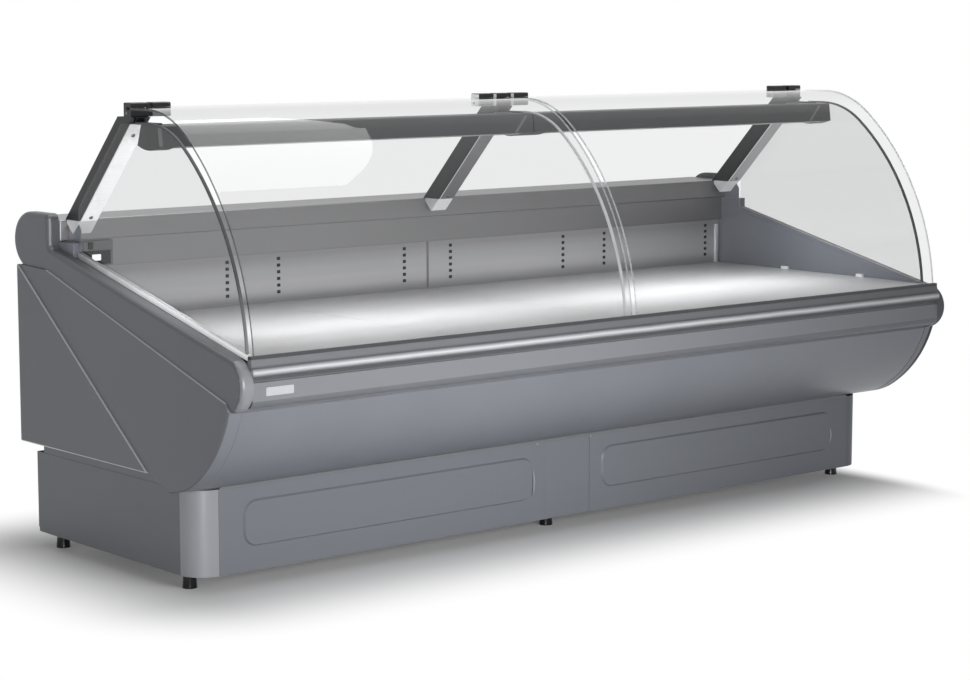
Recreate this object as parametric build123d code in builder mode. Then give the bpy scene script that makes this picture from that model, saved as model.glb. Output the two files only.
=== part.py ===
from build123d import *
import os
from math import cos, hypot, radians, sin, sqrt, tan

os.makedirs("parts", exist_ok=True)

# Refrigerated serve-over counter with two lifting curved front panes, in millimetres.
# +X is the customer's right, +Y the operator's side, +Z up.
# The origin is on the floor below the middle of the counter.

# Overall
module_length = 2520        # between the two end panels
end_thickness = 45          # one moulded end panel
depth = 1077                # nose of the end panels to the back of their heads
sheet = 2                   # folded sheet metal
seam = 0.6                  # joint between neighbouring panels
rest_gap = 0.3              # clearance of a soft or moving face at its seat

# Heights, one on top of the other
foot_height = 40            # floor to the underside of the base
base_height = 222           # skins of the base
neck_height = 38            # top rails of the frame, set back under the tub
tub_height = 312            # tub, up to the ledge that carries the deck
pan_height = 20             # folded deck pans
worktop_rise = 272          # deck to worktop

# Base
base_set_back = 285         # front skin behind the nose
base_rear_inset = 16.5      # rear grilles before the back of the heads
base_end_inset = 15         # side skins inside the end panels
corner_radius = 70          # rounded front corner trims
rear_corner = 14            # cut-off lower rear corners of the side skins
cover_width = 168           # centre cover between the front panels
emboss_end_margin = 73      # raised field of a front panel, from the corner trim
emboss_mid_margin = 45      # raised field, from the centre cover
emboss_low_margin = 63
emboss_high_margin = 38
emboss_corner = 40
emboss_height = 5
emboss_slope = 40           # degrees
tube = 40                   # square frame tube
tube_wall = 3
weld_gap = 0.2              # keeps the frame's tubes separate
end_tube_width = 60         # wider cross tubes at the two ends
foot_end_inset = 40         # foot axis inside the side skins
foot_front_inset = 90
foot_rear_inset = 60.5
foot_pad_radius = 19
foot_pad_top_radius = 17
foot_pad_height = 28
foot_stem_radius = 5
foot_stem_reach = 22        # stem above the underside of the frame
lock_nut_width = 17         # across flats
lock_nut_height = 8
louvre_length = 300
louvre_height = 8
louvre_pitch = 24
louvre_rows = 6
louvre_columns = 3

# Tub and its inside
floor_thickness = 45
wall_thickness = 45         # insulated rear wall
rear_skin = 5.5             # rear panels, flush with the end panels' backs
rear_panel_inset = 35.5     # end panels' backs before the backs of their heads
belly_top_inset = 52        # top of the belly on the underside of the nose, behind its tip
belly_low_inset = 185.5     # where the belly bends under, behind the nose
belly_low_rise = 50         # and above the lowest line
belly_lip_inset = 320       # front of the flat underside, behind the nose
belly_drop = 36             # lowest line of the belly below the tub floor
belly_sagitta = 18
lip_sagitta = 11
front_wall_reach = 97.5     # inside of the front wall behind the nose
front_wall_kink_drop = 92   # where the inside of the front wall starts to slope
front_wall_foot_inset = 345

# Front rail
rail_back_inset = 64.5      # rail seat on the tub behind the nose
rail_upstand_back = 25.5    # back of the upstand behind the nose
rail_upstand_width = 16
rail_upstand_rise = 14      # upstand above the ledge
rail_face_inset = 6         # flat face behind the bumper strip
rail_height = 100           # from the slope down to the underside
rail_slope_drop = 20
rail_slope_inset = 7.5
rail_roll = 22              # lower edge rolled under
strip_height = 22           # rounded bumper strip
strip_seat_depth = 6
groove_drop = 51            # dark groove below the top of the upstand
groove_height = 8
groove_depth = 6
seal_height = 7.7           # seal that the front panes rest on

# Deck, back wall and worktop
pan_count = 4
back_wall_inset = 167       # back wall plane before the back of the heads
back_wall_height = 161      # from the ledge to the air outlet band
band_proud = 10             # air outlet band before the back wall
band_round = 1.5            # its lower front edge
hole_size = 8               # square holes
hole_pitch = 19
hole_rows = 6
hole_near_inset = 88        # first hole column from the middle joint
hole_inner_shift = 75       # second and third column either side of the sheet's middle
hole_outer_shift = 100
hole_far_inset = 64         # last hole column from the end wall
hole_field_rise = 96        # middle of the hole columns above the ledge
trim_width = 9
trim_thickness = 4
trim_height = 125
trim_end_inset = 40
worktop_inset = 191.5       # fascia before the back of the heads
worktop_rear_inset = 12
worktop_thickness = 30
fascia_height = 57
fascia_thickness = 10
worktop_edge = 5            # rounded front edge
support_width = 20          # bars under the deck
support_count = 5
clip_length = 27
clip_width = 12
clip_height = 9
clip_front_y = -248         # clips on the deck, from the middle of the counter
clip_rear_y = 69

# Controls
control_width = 106
control_height = 66
control_depth = 14
control_end_inset = 56      # left edge of the control box from the tub's end
bezel_width = 87
bezel_height = 37
bezel_depth = 6
bezel_low_margin = 3
screen_width = 30
screen_height = 18
screen_depth = 1.5
rocker_width = 14
rocker_height = 17
rocker_depth = 9
rocker_proud = 4
rocker_tilt = 7             # degrees either side of upright
rocker_pin_radius = 1.5
rocker_pin_reach = 3        # pin in the control box on either side
rocker_axis_depth = 2       # rocker's axis behind the face of the control box
rocker_side_margin = 28     # rocker from the left edge of the control box
rocker_top_margin = 4

# Glass
pane_thickness = 6
pane_foot_inset = 14.5      # outer face at the foot of a front pane, behind the nose
pane_upper_radius = 279
pane_flat = 114             # level part of a front pane before its rear edge
pane_foot_angle = 85.3      # degrees from level at the foot
pane_bend_angle = 37.5      # degrees from level where the tighter bend starts
pane_end_inset = 12         # ends of the front panes inside the end panels
pane_joint = 18             # gap between the two front panes
rib_inset = 36              # rib and end seals behind the outer face of the front panes
rib_depth = 4
rib_width = 8
seal_depth = 5              # seal on the front edge of an end pane
seal_width = 7
end_pane_inset = 16         # outer face of an end pane inside the end panel
end_pane_overlap = 20       # end pane behind the front face of its post
end_pane_rear_gap = 67.5      # rear edge of an end pane before the fascia
end_pane_corner = 20        # its rounded lower rear corner
seal_flat_run = 62          # seal along the level top of an end pane
channel_width = 14          # channel that holds an end pane
channel_height = 14
channel_seat = 10           # depth of its slot
channel_front_reach = 18    # front of the channel behind the foot of a front pane
liner_thickness = 26        # end walls of the display

# Posts, hinges and canopies
post_lean = 44              # degrees from upright
post_width = 55
post_depth = 52
post_wall = 3
post_end_inset = 50         # post axis inside the end panel
post_foot_gap = 25.7        # post axis before the fascia, at the worktop
strip_thickness = 3
strip_margin = 2.5          # post strip inside the sides of its post
pad_thickness = 17.6        # lower jaw of a hinge column
cap_thickness = 12          # upper jaw
column_width = 54
column_gap = 11
column_front_reach = 28     # hinge column before the post's axis at its head
column_rear_reach = 6
hinge_rear_gap = 12         # hinge axis before the rear of its column
pane_hinge_gap = 4         # rear edge of a front pane before the hinge axis
notch_gap = 2               # notch in a pane beside a fixed column
swing_gap = 1.5             # notch edge before a fixed column as the pane swings past it
pin_radius = 4
pin_clearance = 0.05
canopy_drop = 41.5          # top of a canopy below the top of the panes
canopy_height = 54
canopy_top_width = 82
canopy_bottom_width = 107
canopy_post_gap = 53        # lower rear edge of a canopy before the post's axis at its head
canopy_rear_slope = 18      # upper rear edge before the lower one
canopy_edge = 6
lens_depth = 4
lens_bevel = 8
lens_margin = 4
canopy_end_inset = 25       # canopy end inside the end panel
canopy_joint = 2            # half of the gap between the two canopies
cap_length = 45
cap_sagitta = 10            # rounded underside of an end cap
bracket_width = 30
bracket_thickness = 4
bracket_reach = 55          # bracket along the top of a canopy

# End panels
band_angle = 13.7           # degrees, slope of the bumper band's upper line
nose_radius = 67            # round front end of the band
nose_drop = 72              # nose axis below the deck
panel_skin_step = 6         # rear field proud of the front field, and that of the band
head_height = 17            # head above the worktop
head_front_inset = 185.5    # front of the head before its back
head_bulge_drop = 60        # widest line of the head below the worktop
head_foot_drop = 125        # where the head runs into the rear edge
head_top_inset = 80
crease_start_drop = 42      # lower line of the band below the nose axis
crease_bend_inset = 176     # where that line runs level, from the back of the head
crease_bend_drop = 130      # and below the worktop
crease_foot_inset = 414     # foot of the rear crease behind the nose's tip
edge_round = 14             # rim of the band and head
field_chamfer = 3.5         # rims of the two lower fields
head_blend = 15             # front of the head into the band
head_round = 16

# Machine compartment
compressor_radius = 82
compressor_height = 165
compressor_shoulder = 38
compressor_plate = 213
compressor_gap = 59         # its plate before the electrical box
machine_y = 139
condenser_start_gap = 170   # condenser from the inner end of the tray
condenser_length = 280
condenser_depth = 70
condenser_height = 150
condenser_rear_gap = 43.5   # condenser before the rear grilles
fin_pitch = 20
fin_gap = 6
fin_depth = 12
shroud_depth = 40
shroud_wall = 3
motor_radius = 26
motor_length = 40
motor_arm = 12
motor_chamfer = 6
shaft_radius = 4
fan_hub_radius = 18
fan_hub_length = 16
fan_blade_count = 5
fan_blade_width = 34
fan_blade_thickness = 2.5
fan_blade_root = 1          # blade inside the hub
fan_pitch_angle = 32
condenser_fan_radius = 62
evaporator_fan_radius = 60
orifice_gap = 5             # fan tip to orifice
evaporator_fan_x = 450
evaporator_length = 1700
evaporator_depth = 190
evaporator_height = 110
evaporator_y = 204
fan_plate_y = 29
fan_plate_height = 165
fan_plate_flange = 30
evaporator_fin_pitch = 50
box_width = 170
box_depth = 120
box_height = 130
box_end_gap = 57            # electrical box from the outer end of the tray
gland_end_inset = 125       # gland inside the side skin
gland_radius = 10
gland_nut_radius = 14
gland_length = 9
gland_reach = 6             # gland inside the rear grille
gland_rise = 60
drip_width = 240
drip_depth = 180
drip_height = 36
drip_start_gap = 420        # evaporation tray from the inner end of the base tray
drain_y = -41
drain_radius = 16
drain_wall = 3
drain_flange_radius = 26
drain_end_gap = 12          # pipe end above the bottom of the evaporation tray

# Worked-out places
half = module_length / 2
front_y = -depth / 2
rear_y = depth / 2
base_top = foot_height + base_height
tub_bottom = base_top + neck_height
ledge_z = tub_bottom + tub_height
deck_z = ledge_z + pan_height
worktop_z = deck_z + worktop_rise
floor_top = tub_bottom + floor_thickness
sides = (-1, 1)

base_front_y = front_y + base_set_back
base_rear_y = rear_y - base_rear_inset
base_half = half - base_end_inset
foot_x = base_half - foot_end_inset
foot_front_y = base_front_y + foot_front_inset
foot_rear_y = base_rear_y - foot_rear_inset
foot_points = [(x, y) for x in (-foot_x, 0, foot_x) for y in (foot_front_y, foot_rear_y)]
frame_top = foot_height + tube
end_tube_x = base_half - sheet - end_tube_width / 2
tray_start = tube / 2 + seam
tray_end = end_tube_x - tube / 2 - seam
gland_x = base_half - gland_end_inset
box_x = tray_end - box_end_gap - box_width / 2
compressor_x = box_x - box_width / 2 - compressor_gap - compressor_plate / 2
condenser_x = tray_start + condenser_start_gap + condenser_length / 2
drain_x = tray_start + drip_start_gap + drip_width / 2

panel_rear_y = rear_y - rear_panel_inset
tub_rear_y = panel_rear_y - rear_skin
tub_rear_in_y = tub_rear_y - wall_thickness
front_wall_in_y = front_y + front_wall_reach
front_wall_foot_y = front_y + front_wall_foot_inset
back_wall_y = rear_y - back_wall_inset
fascia_y = rear_y - worktop_inset
band_z = ledge_z + back_wall_height
fascia_low_z = worktop_z - fascia_height
liner_x = half - liner_thickness

rail_back_y = front_y + rail_back_inset
upstand_back_y = front_y + rail_upstand_back
upstand_front_y = upstand_back_y - rail_upstand_width
upstand_z = ledge_z + rail_upstand_rise
rail_face_y = front_y + rail_face_inset
pane_foot_y = front_y + pane_foot_inset
foot_turn = radians(pane_foot_angle)
bend_turn = radians(pane_bend_angle)
pane_foot_z = upstand_z + seal_height + rest_gap + pane_thickness * cos(foot_turn)
lean = radians(post_lean)
post_foot_y = fascia_y - post_foot_gap

# The lower bend of the panes is as large as brings their rear edges to the leaning posts' heads.
arc_run = sin(foot_turn) - sin(bend_turn)
arc_rise = cos(bend_turn) - cos(foot_turn)
bend_run = pane_upper_radius * sin(bend_turn)
bend_rise = pane_upper_radius * (1 - cos(bend_turn))
head_drop = pane_thickness + rest_gap + pad_thickness
head_run = (pane_foot_z + bend_rise - head_drop - worktop_z) * tan(lean)
hinge_reach = column_rear_reach - hinge_rear_gap
rear_run = post_foot_y - head_run + hinge_reach - pane_hinge_gap - pane_foot_y
pane_lower_radius = (rear_run - pane_flat - bend_run) / (arc_run + arc_rise * tan(lean))

pane_top = pane_foot_z + pane_lower_radius * arc_rise + bend_rise
jaw_z = pane_top - pane_thickness - rest_gap      # top of the lower jaws
pad_z = jaw_z - pad_thickness                     # their underside and the posts' heads
hinge_z = pad_z + pad_thickness / 2
post_x = half - post_end_inset
post_xs = (-post_x, 0, post_x)
post_head_y = post_foot_y - (pad_z - worktop_z) * tan(lean)
post_half_y = post_depth / 2 / cos(lean)          # half of the post's level section
hinge_y = post_head_y + hinge_reach
pane_rear_y = hinge_y - pane_hinge_gap
seal_end_y = pane_rear_y - pane_flat + seal_flat_run
column_front_y = post_head_y - column_front_reach
column_rear_y = post_head_y + column_rear_reach
canopy_top = pane_top - canopy_drop
canopy_low = canopy_top - canopy_height
canopy_rear_y = post_head_y - canopy_post_gap
end_pane_x = half - end_pane_inset                # outer face of an end pane

slope = radians(band_angle)
nose_y = front_y + nose_radius
nose_z = deck_z - nose_drop
belly_top_y = front_y + belly_top_inset
belly_top_z = nose_z - sqrt(nose_radius**2 - (belly_top_y - nose_y)**2)


def keep(piece, name):
    """Label a finished piece and write it to its own file."""
    piece.part.label = name
    export_step(piece.part, f"parts/{name}.step")


def post_line(z, shift=0.0):
    """Y of the post's axis at a height, moved along Y by a level shift."""
    return post_foot_y - (z - worktop_z) * tan(lean) + shift


def band_line(y, offset):
    """Z of a line along the bumper band, offset square to its axis."""
    return nose_z + (y - nose_y) * tan(slope) + offset / cos(slope)


def pane_lines(inset, rear):
    """Profile of the front panes from foot to rear edge, set in from the outer face."""
    foot = (pane_foot_y + inset * sin(foot_turn), pane_foot_z - inset * cos(foot_turn))
    rise = (cos(foot_turn), sin(foot_turn))
    lower = JernArc(foot, rise, pane_lower_radius - inset, pane_bend_angle - pane_foot_angle)
    upper = JernArc(lower @ 1, lower % 1, pane_upper_radius - inset, -pane_bend_angle)
    flat = Line(upper @ 1, (rear, (upper @ 1).Y))
    return lower @ 0, flat @ 1


def belly_lines():
    """Profile of the belly from under the rail to its flat underside."""
    top = (belly_top_y, belly_top_z)
    bend = (front_y + belly_low_inset, tub_bottom - belly_drop + belly_low_rise)
    lip = (front_y + belly_lip_inset, tub_bottom - belly_drop)
    SagittaArc(top, bend, -belly_sagitta)
    SagittaArc(bend, lip, -lip_sagitta)
    return top, lip


def prism(points, x_mid, width):
    """Bar along X with a YZ outline, centred on a place along X."""
    with BuildPart() as bar:
        with BuildSketch(Plane.YZ.offset(x_mid - width / 2)):
            with BuildLine():
                Polyline(*points, close=True)
            make_face()
        extrude(amount=width)
    return bar.part


def axial_fan(tip_radius):
    """Fan rotor on the Z axis: a bored hub with pitched blades."""
    blade_length = tip_radius - fan_hub_radius + fan_blade_root
    with BuildPart() as rotor:
        Cylinder(fan_hub_radius, fan_hub_length)
        with PolarLocations(tip_radius - blade_length / 2, fan_blade_count):
            Box(blade_length, fan_blade_width, fan_blade_thickness, rotation=(fan_pitch_angle, 0, 0))
        Cylinder(shaft_radius + pin_clearance, 2 * fan_hub_length, mode=Mode.SUBTRACT)
    return rotor.part


# Levelling feet with their lock nuts
with BuildPart() as levelling_feet:
    with Locations(*[(x, y, 0) for x, y in foot_points]):
        Cone(
            foot_pad_radius, foot_pad_top_radius, foot_pad_height,
            align=(Align.CENTER, Align.CENTER, Align.MIN),
        )
        Cylinder(
            foot_stem_radius, foot_height + foot_stem_reach,
            align=(Align.CENTER, Align.CENTER, Align.MIN),
        )
    with BuildSketch(Plane.XY.offset(foot_height - lock_nut_height)):
        with Locations(*foot_points):
            RegularPolygon(lock_nut_width / 2, 6, major_radius=False)
    extrude(amount=lock_nut_height)
keep(levelling_feet, "levelling_feet")

# Welded base frame: cross tubes on the feet, long tubes, uprights and a top ring
def tube_ring(width, height):
    """Section of a square or flat tube in the open sketch."""
    Rectangle(width, height)
    Rectangle(width - 2 * tube_wall, height - 2 * tube_wall, mode=Mode.SUBTRACT)


cross_tubes = (
    (-end_tube_x, end_tube_width, base_front_y + corner_radius),
    (0, tube, base_front_y + sheet),
    (end_tube_x, end_tube_width, base_front_y + corner_radius),
)
frame_ys = (foot_front_y, foot_rear_y)
long_start = tube / 2 + weld_gap
long_end = end_tube_x - end_tube_width / 2 - weld_gap
ring_start_y = foot_front_y + tube / 2 + weld_gap
ring_end_y = foot_rear_y - tube / 2 - weld_gap
with BuildPart() as base_frame:
    for x, width, front in cross_tubes:
        with BuildSketch(Plane.XZ.offset(-front)):
            with Locations((x, foot_height + tube / 2)):
                tube_ring(width, tube)
        extrude(amount=-(base_rear_y - sheet - front))
    with Locations(*[(x, y, foot_height) for x, y in foot_points]):
        Cylinder(foot_stem_radius + rest_gap, 2 * (tube_wall + seam), mode=Mode.SUBTRACT)
    with BuildSketch(Plane.YZ.offset(long_start)):
        with Locations(*[(y, foot_height + tube / 2) for y in frame_ys]):
            tube_ring(tube, tube)
    extrude(amount=long_end - long_start)
    with BuildSketch(Plane.XY.offset(frame_top + weld_gap)):
        with Locations(*[(end_tube_x, y) for y in frame_ys]):
            tube_ring(tube, tube)
    extrude(amount=base_height - tube - 2 * weld_gap)
    with BuildSketch(Plane.XZ.offset(-ring_start_y)):
        with Locations((end_tube_x, base_top + neck_height / 2)):
            tube_ring(tube, neck_height)
    extrude(amount=-(ring_end_y - ring_start_y))
    mirror(about=Plane.YZ)
    with BuildSketch(Plane.XY.offset(frame_top + weld_gap)):
        with Locations(*[(0, y) for y in frame_ys]):
            tube_ring(tube, tube)
    extrude(amount=base_height - tube - 2 * weld_gap)
    with BuildSketch(Plane.YZ.offset(-end_tube_x - tube / 2)):
        with Locations(*[(y, base_top + neck_height / 2) for y in frame_ys]):
            tube_ring(tube, neck_height)
    extrude(amount=2 * end_tube_x + tube)
keep(base_frame, "base_frame")

# Base skins
with BuildPart() as base_sides:
    with BuildSketch(Plane.YZ.offset(base_half - sheet)):
        with BuildLine():
            Polyline(
                (base_front_y + corner_radius + seam, foot_height),
                (base_rear_y - rear_corner, foot_height),
                (base_rear_y, foot_height + rear_corner),
                (base_rear_y, base_top),
                (base_front_y + corner_radius + seam, base_top),
                close=True,
            )
        make_face()
    extrude(amount=sheet)
    mirror(about=Plane.YZ)
keep(base_sides, "base_sides")

with BuildPart() as base_corner_trims:
    with BuildSketch(Plane.XY.offset(foot_height)):
        for side in sides:
            with Locations((side * (base_half - corner_radius), base_front_y + corner_radius)):
                Circle(corner_radius)
                Circle(corner_radius - sheet, mode=Mode.SUBTRACT)
        Rectangle(
            2 * (base_half - corner_radius), 2 * depth,
            mode=Mode.SUBTRACT,
        )
        with Locations((0, base_front_y + corner_radius)):
            Rectangle(
                module_length, 2 * corner_radius,
                align=(Align.CENTER, Align.MIN), mode=Mode.SUBTRACT,
            )
    extrude(amount=base_height)
keep(base_corner_trims, "base_corner_trims")

front_panel_start = cover_width / 2 + seam
front_panel_end = base_half - corner_radius - seam
front_panel_mid = (front_panel_start + front_panel_end) / 2
field_start = front_panel_start + emboss_mid_margin
field_end = front_panel_end - emboss_end_margin
field_height = base_height - emboss_low_margin - emboss_high_margin
with BuildPart() as base_front_panels:
    with BuildSketch(Plane.XZ.offset(-base_front_y)):
        with Locations((front_panel_mid, foot_height + base_height / 2)):
            Rectangle(front_panel_end - front_panel_start, base_height)
    extrude(amount=-sheet)
    with BuildSketch(Plane.XZ.offset(-base_front_y)):
        with Locations(((field_start + field_end) / 2, foot_height + emboss_low_margin + field_height / 2)):
            RectangleRounded(field_end - field_start, field_height, emboss_corner)
    extrude(amount=emboss_height, taper=emboss_slope)
    mirror(about=Plane.YZ)
keep(base_front_panels, "base_front_panels")

with BuildPart() as base_centre_cover:
    with BuildSketch(Plane.XZ.offset(-base_front_y)):
        with Locations((0, foot_height + base_height / 2)):
            Rectangle(cover_width, base_height)
    extrude(amount=-sheet)
    fillet(base_centre_cover.edges().filter_by(Axis.Z).group_by(Axis.Y)[0], sheet / 2)
keep(base_centre_cover, "base_centre_cover")

with BuildPart() as base_rear_grilles:
    grille_length = base_half - sheet - 2 * seam
    with BuildSketch(Plane.XZ.offset(-base_rear_y)):
        for side in sides:
            with Locations((side * (seam + grille_length / 2), foot_height + base_height / 2)):
                Rectangle(grille_length, base_height)
                with GridLocations(grille_length / louvre_columns, louvre_pitch, louvre_columns, louvre_rows):
                    Rectangle(louvre_length, louvre_height, mode=Mode.SUBTRACT)
        with Locations((gland_x, foot_height + gland_rise)):
            Circle(gland_radius + rest_gap, mode=Mode.SUBTRACT)
    extrude(amount=sheet)
keep(base_rear_grilles, "base_rear_grilles")

# Machine compartment in the right half of the base
tray_front_y = foot_front_y - tube / 2
tray_rear_y = foot_rear_y + tube / 2
tray_top = frame_top + sheet
fan_z = tray_top + condenser_height / 2
with BuildPart() as base_tray:
    with BuildSketch(Plane.XY.offset(frame_top)):
        with Locations(((tray_start + tray_end) / 2, (tray_front_y + tray_rear_y) / 2)):
            Rectangle(tray_end - tray_start, tray_rear_y - tray_front_y)
    extrude(amount=sheet)
keep(base_tray, "base_tray")

with BuildPart() as compressor:
    with Locations((compressor_x, machine_y, tray_top)):
        Box(
            compressor_plate, 2 * compressor_radius, tube_wall,
            align=(Align.CENTER, Align.CENTER, Align.MIN),
        )
    with Locations((compressor_x, machine_y, tray_top + tube_wall)):
        Cylinder(
            compressor_radius, compressor_height,
            align=(Align.CENTER, Align.CENTER, Align.MIN),
        )
    chamfer(compressor.edges().filter_by(GeomType.CIRCLE).sort_by(Axis.Z)[-1], compressor_shoulder)
keep(compressor, "compressor")

condenser_rear_y = base_rear_y - sheet - condenser_rear_gap
condenser_front_y = condenser_rear_y - condenser_depth
with BuildPart() as condenser_coil:
    with Locations((condenser_x, (condenser_front_y + condenser_rear_y) / 2, tray_top)):
        Box(
            condenser_length, condenser_depth, condenser_height,
            align=(Align.CENTER, Align.CENTER, Align.MIN),
        )
    with BuildSketch(Plane.XZ.offset(-condenser_rear_y)):
        with Locations((condenser_x, tray_top + condenser_height / 2)):
            with GridLocations(fin_pitch, 0, int(condenser_length / fin_pitch) - 1, 1):
                Rectangle(fin_gap, condenser_height - 2 * fin_depth)
    extrude(amount=fin_depth, mode=Mode.SUBTRACT)
keep(condenser_coil, "condenser_coil")

shroud_front_y = condenser_front_y - shroud_depth
with BuildPart() as condenser_shroud:
    with Locations((condenser_x, (shroud_front_y + condenser_front_y) / 2, tray_top)):
        Box(
            condenser_length, shroud_depth, condenser_height,
            align=(Align.CENTER, Align.CENTER, Align.MIN),
        )
    with Locations((condenser_x, (shroud_front_y + condenser_front_y) / 2 + shroud_wall, fan_z)):
        Box(
            condenser_length - 2 * shroud_wall, shroud_depth, condenser_height - 2 * shroud_wall,
            mode=Mode.SUBTRACT,
        )
    with Locations(Location((condenser_x, shroud_front_y, fan_z), (90, 0, 0))):
        Cylinder(condenser_fan_radius + orifice_gap, shroud_depth, mode=Mode.SUBTRACT)
keep(condenser_shroud, "condenser_shroud")


def fan_motor(arm_reach):
    """Motor on the Z axis above its mounting arms, with the shaft pointing down."""
    with BuildPart() as motor:
        with BuildSketch():
            Rectangle(2 * arm_reach, motor_arm)
            Rectangle(motor_arm, 2 * arm_reach)
        extrude(amount=shroud_wall)
        with BuildSketch(Plane.XY.offset(shroud_wall)):
            Circle(motor_radius)
        extrude(amount=motor_length)
        chamfer(motor.edges().group_by(Axis.Z)[-1], motor_chamfer)
        with BuildSketch():
            Circle(shaft_radius)
        extrude(amount=-(fan_hub_length + 2 * shroud_wall))
    return motor.part


# The condenser fan stands in its orifice; its motor is carried on arms before the shroud.
condenser_arm = condenser_fan_radius + orifice_gap + shroud_wall
motor_plane = Plane(origin=(condenser_x, shroud_front_y, fan_z), x_dir=(1, 0, 0), z_dir=(0, -1, 0))
with BuildPart(motor_plane) as condenser_motor:
    add(fan_motor(condenser_arm))
keep(condenser_motor, "condenser_motor")

fan_seat = shroud_wall + fan_hub_length / 2
with BuildPart(motor_plane.offset(-fan_seat)) as condenser_fan:
    add(axial_fan(condenser_fan_radius))
keep(condenser_fan, "condenser_fan")

with BuildPart() as electrical_box:
    with Locations((box_x, machine_y, tray_top)):
        Box(box_width, box_depth, box_height, align=(Align.CENTER, Align.CENTER, Align.MIN))
    fillet(electrical_box.edges().filter_by(Axis.Z), tube_wall)
    with Locations((box_x, machine_y, tray_top + box_height)):
        Box(
            box_width - 2 * tube_wall, box_depth - 2 * tube_wall, tube_wall,
            align=(Align.CENTER, Align.CENTER, Align.MIN),
        )
keep(electrical_box, "electrical_box")

gland_plane = Plane(origin=(gland_x, base_rear_y, foot_height + gland_rise), x_dir=(1, 0, 0), z_dir=(0, 1, 0))
with BuildPart() as cable_gland:
    with BuildSketch(gland_plane):
        RegularPolygon(gland_nut_radius, 6)
    extrude(amount=gland_length)
    with BuildSketch(gland_plane):
        Circle(gland_radius)
    extrude(amount=-gland_reach)
    with BuildSketch(gland_plane.offset(-gland_reach)):
        Circle(gland_radius / 2)
    extrude(amount=gland_length + gland_reach, mode=Mode.SUBTRACT)
keep(cable_gland, "cable_gland")

with BuildPart() as evaporation_tray:
    with Locations((drain_x, drain_y, tray_top)):
        Box(drip_width, drip_depth, drip_height, align=(Align.CENTER, Align.CENTER, Align.MIN))
    offset(amount=-tube_wall, openings=evaporation_tray.faces().sort_by(Axis.Z)[-1])
keep(evaporation_tray, "evaporation_tray")

drain_low_z = tray_top + tube_wall + drain_end_gap
with BuildPart() as drain_pipe:
    with BuildSketch(Plane.XY.offset(drain_low_z)):
        with Locations((drain_x, drain_y)):
            Circle(drain_radius)
            Circle(drain_radius - drain_wall, mode=Mode.SUBTRACT)
    extrude(amount=floor_top + drain_wall - drain_low_z)
    with BuildSketch(Plane.XY.offset(floor_top)):
        with Locations((drain_x, drain_y)):
            Circle(drain_flange_radius)
            Circle(drain_radius - drain_wall, mode=Mode.SUBTRACT)
    extrude(amount=drain_wall)
keep(drain_pipe, "drain_pipe")

# Tub: insulated front wall with the bellied skin, floor and rear wall
with BuildPart() as tub_front_wall:
    with BuildSketch(Plane.YZ.offset(-half)):
        with BuildLine():
            belly_top, belly_lip = belly_lines()
            Polyline(
                belly_lip,
                (front_wall_foot_y, belly_lip[1]),
                (front_wall_foot_y, floor_top),
                (front_wall_foot_y - wall_thickness, floor_top),
                (front_wall_in_y, ledge_z - front_wall_kink_drop),
                (front_wall_in_y, ledge_z),
                (rail_back_y, ledge_z),
                (rail_back_y, belly_top[1]),
                belly_top,
            )
        make_face()
    extrude(amount=module_length)
keep(tub_front_wall, "tub_front_wall")

with BuildPart() as tub_floor:
    with BuildSketch(Plane.XY.offset(tub_bottom)):
        with Locations((0, (front_wall_foot_y + tub_rear_in_y) / 2)):
            Rectangle(module_length, tub_rear_in_y - front_wall_foot_y)
        with Locations((drain_x, drain_y)):
            Circle(drain_radius + pin_clearance, mode=Mode.SUBTRACT)
    extrude(amount=floor_thickness)
keep(tub_floor, "tub_floor")

worktop_low_z = worktop_z - worktop_thickness
with BuildPart() as tub_rear_wall:
    with BuildSketch(Plane.YZ.offset(-half)):
        with Locations((tub_rear_in_y + wall_thickness / 2, (tub_bottom + worktop_low_z) / 2)):
            Rectangle(wall_thickness, worktop_low_z - tub_bottom)
    extrude(amount=module_length)
keep(tub_rear_wall, "tub_rear_wall")

with BuildPart() as rear_panels:
    rear_panel_length = half - seam
    with BuildSketch(Plane.XZ.offset(-tub_rear_y)):
        with Locations((0, (tub_bottom + worktop_low_z) / 2)):
            with GridLocations(rear_panel_length + seam, 0, 2, 1):
                Rectangle(rear_panel_length, worktop_low_z - tub_bottom)
    extrude(amount=-rear_skin)
keep(rear_panels, "rear_panels")

# Front rail with its bumper strip, and the seal under the front panes
strip_z = upstand_z - rail_slope_drop - strip_height / 2
rail_low_z = upstand_z - rail_slope_drop - rail_height
groove_z = upstand_z - groove_drop
with BuildPart() as front_rail:
    with BuildSketch(Plane.YZ.offset(-half)):
        with BuildLine():
            Polyline(
                (rail_back_y, belly_top[1]),
                (rail_back_y, ledge_z),
                (upstand_back_y, ledge_z),
                (upstand_back_y, upstand_z),
                (upstand_front_y, upstand_z),
                (front_y + rail_slope_inset, upstand_z - rail_slope_drop),
                (rail_face_y + strip_seat_depth, upstand_z - rail_slope_drop),
                (rail_face_y + strip_seat_depth, strip_z - strip_height / 2),
                (rail_face_y, strip_z - strip_height / 2),
                (rail_face_y, groove_z + groove_height / 2),
                (rail_face_y + groove_depth, groove_z + groove_height / 2),
                (rail_face_y + groove_depth, groove_z - groove_height / 2),
                (rail_face_y, groove_z - groove_height / 2),
                (rail_face_y, rail_low_z + rail_roll),
            )
            roll = JernArc((rail_face_y, rail_low_z + rail_roll), (0, -1), rail_roll, 90)
            Polyline(
                roll @ 1,
                (belly_top_y, rail_low_z),
                (belly_top_y, belly_top[1]),
                (rail_back_y, belly_top[1]),
            )
        make_face()
    extrude(amount=module_length)
keep(front_rail, "front_rail")

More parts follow.
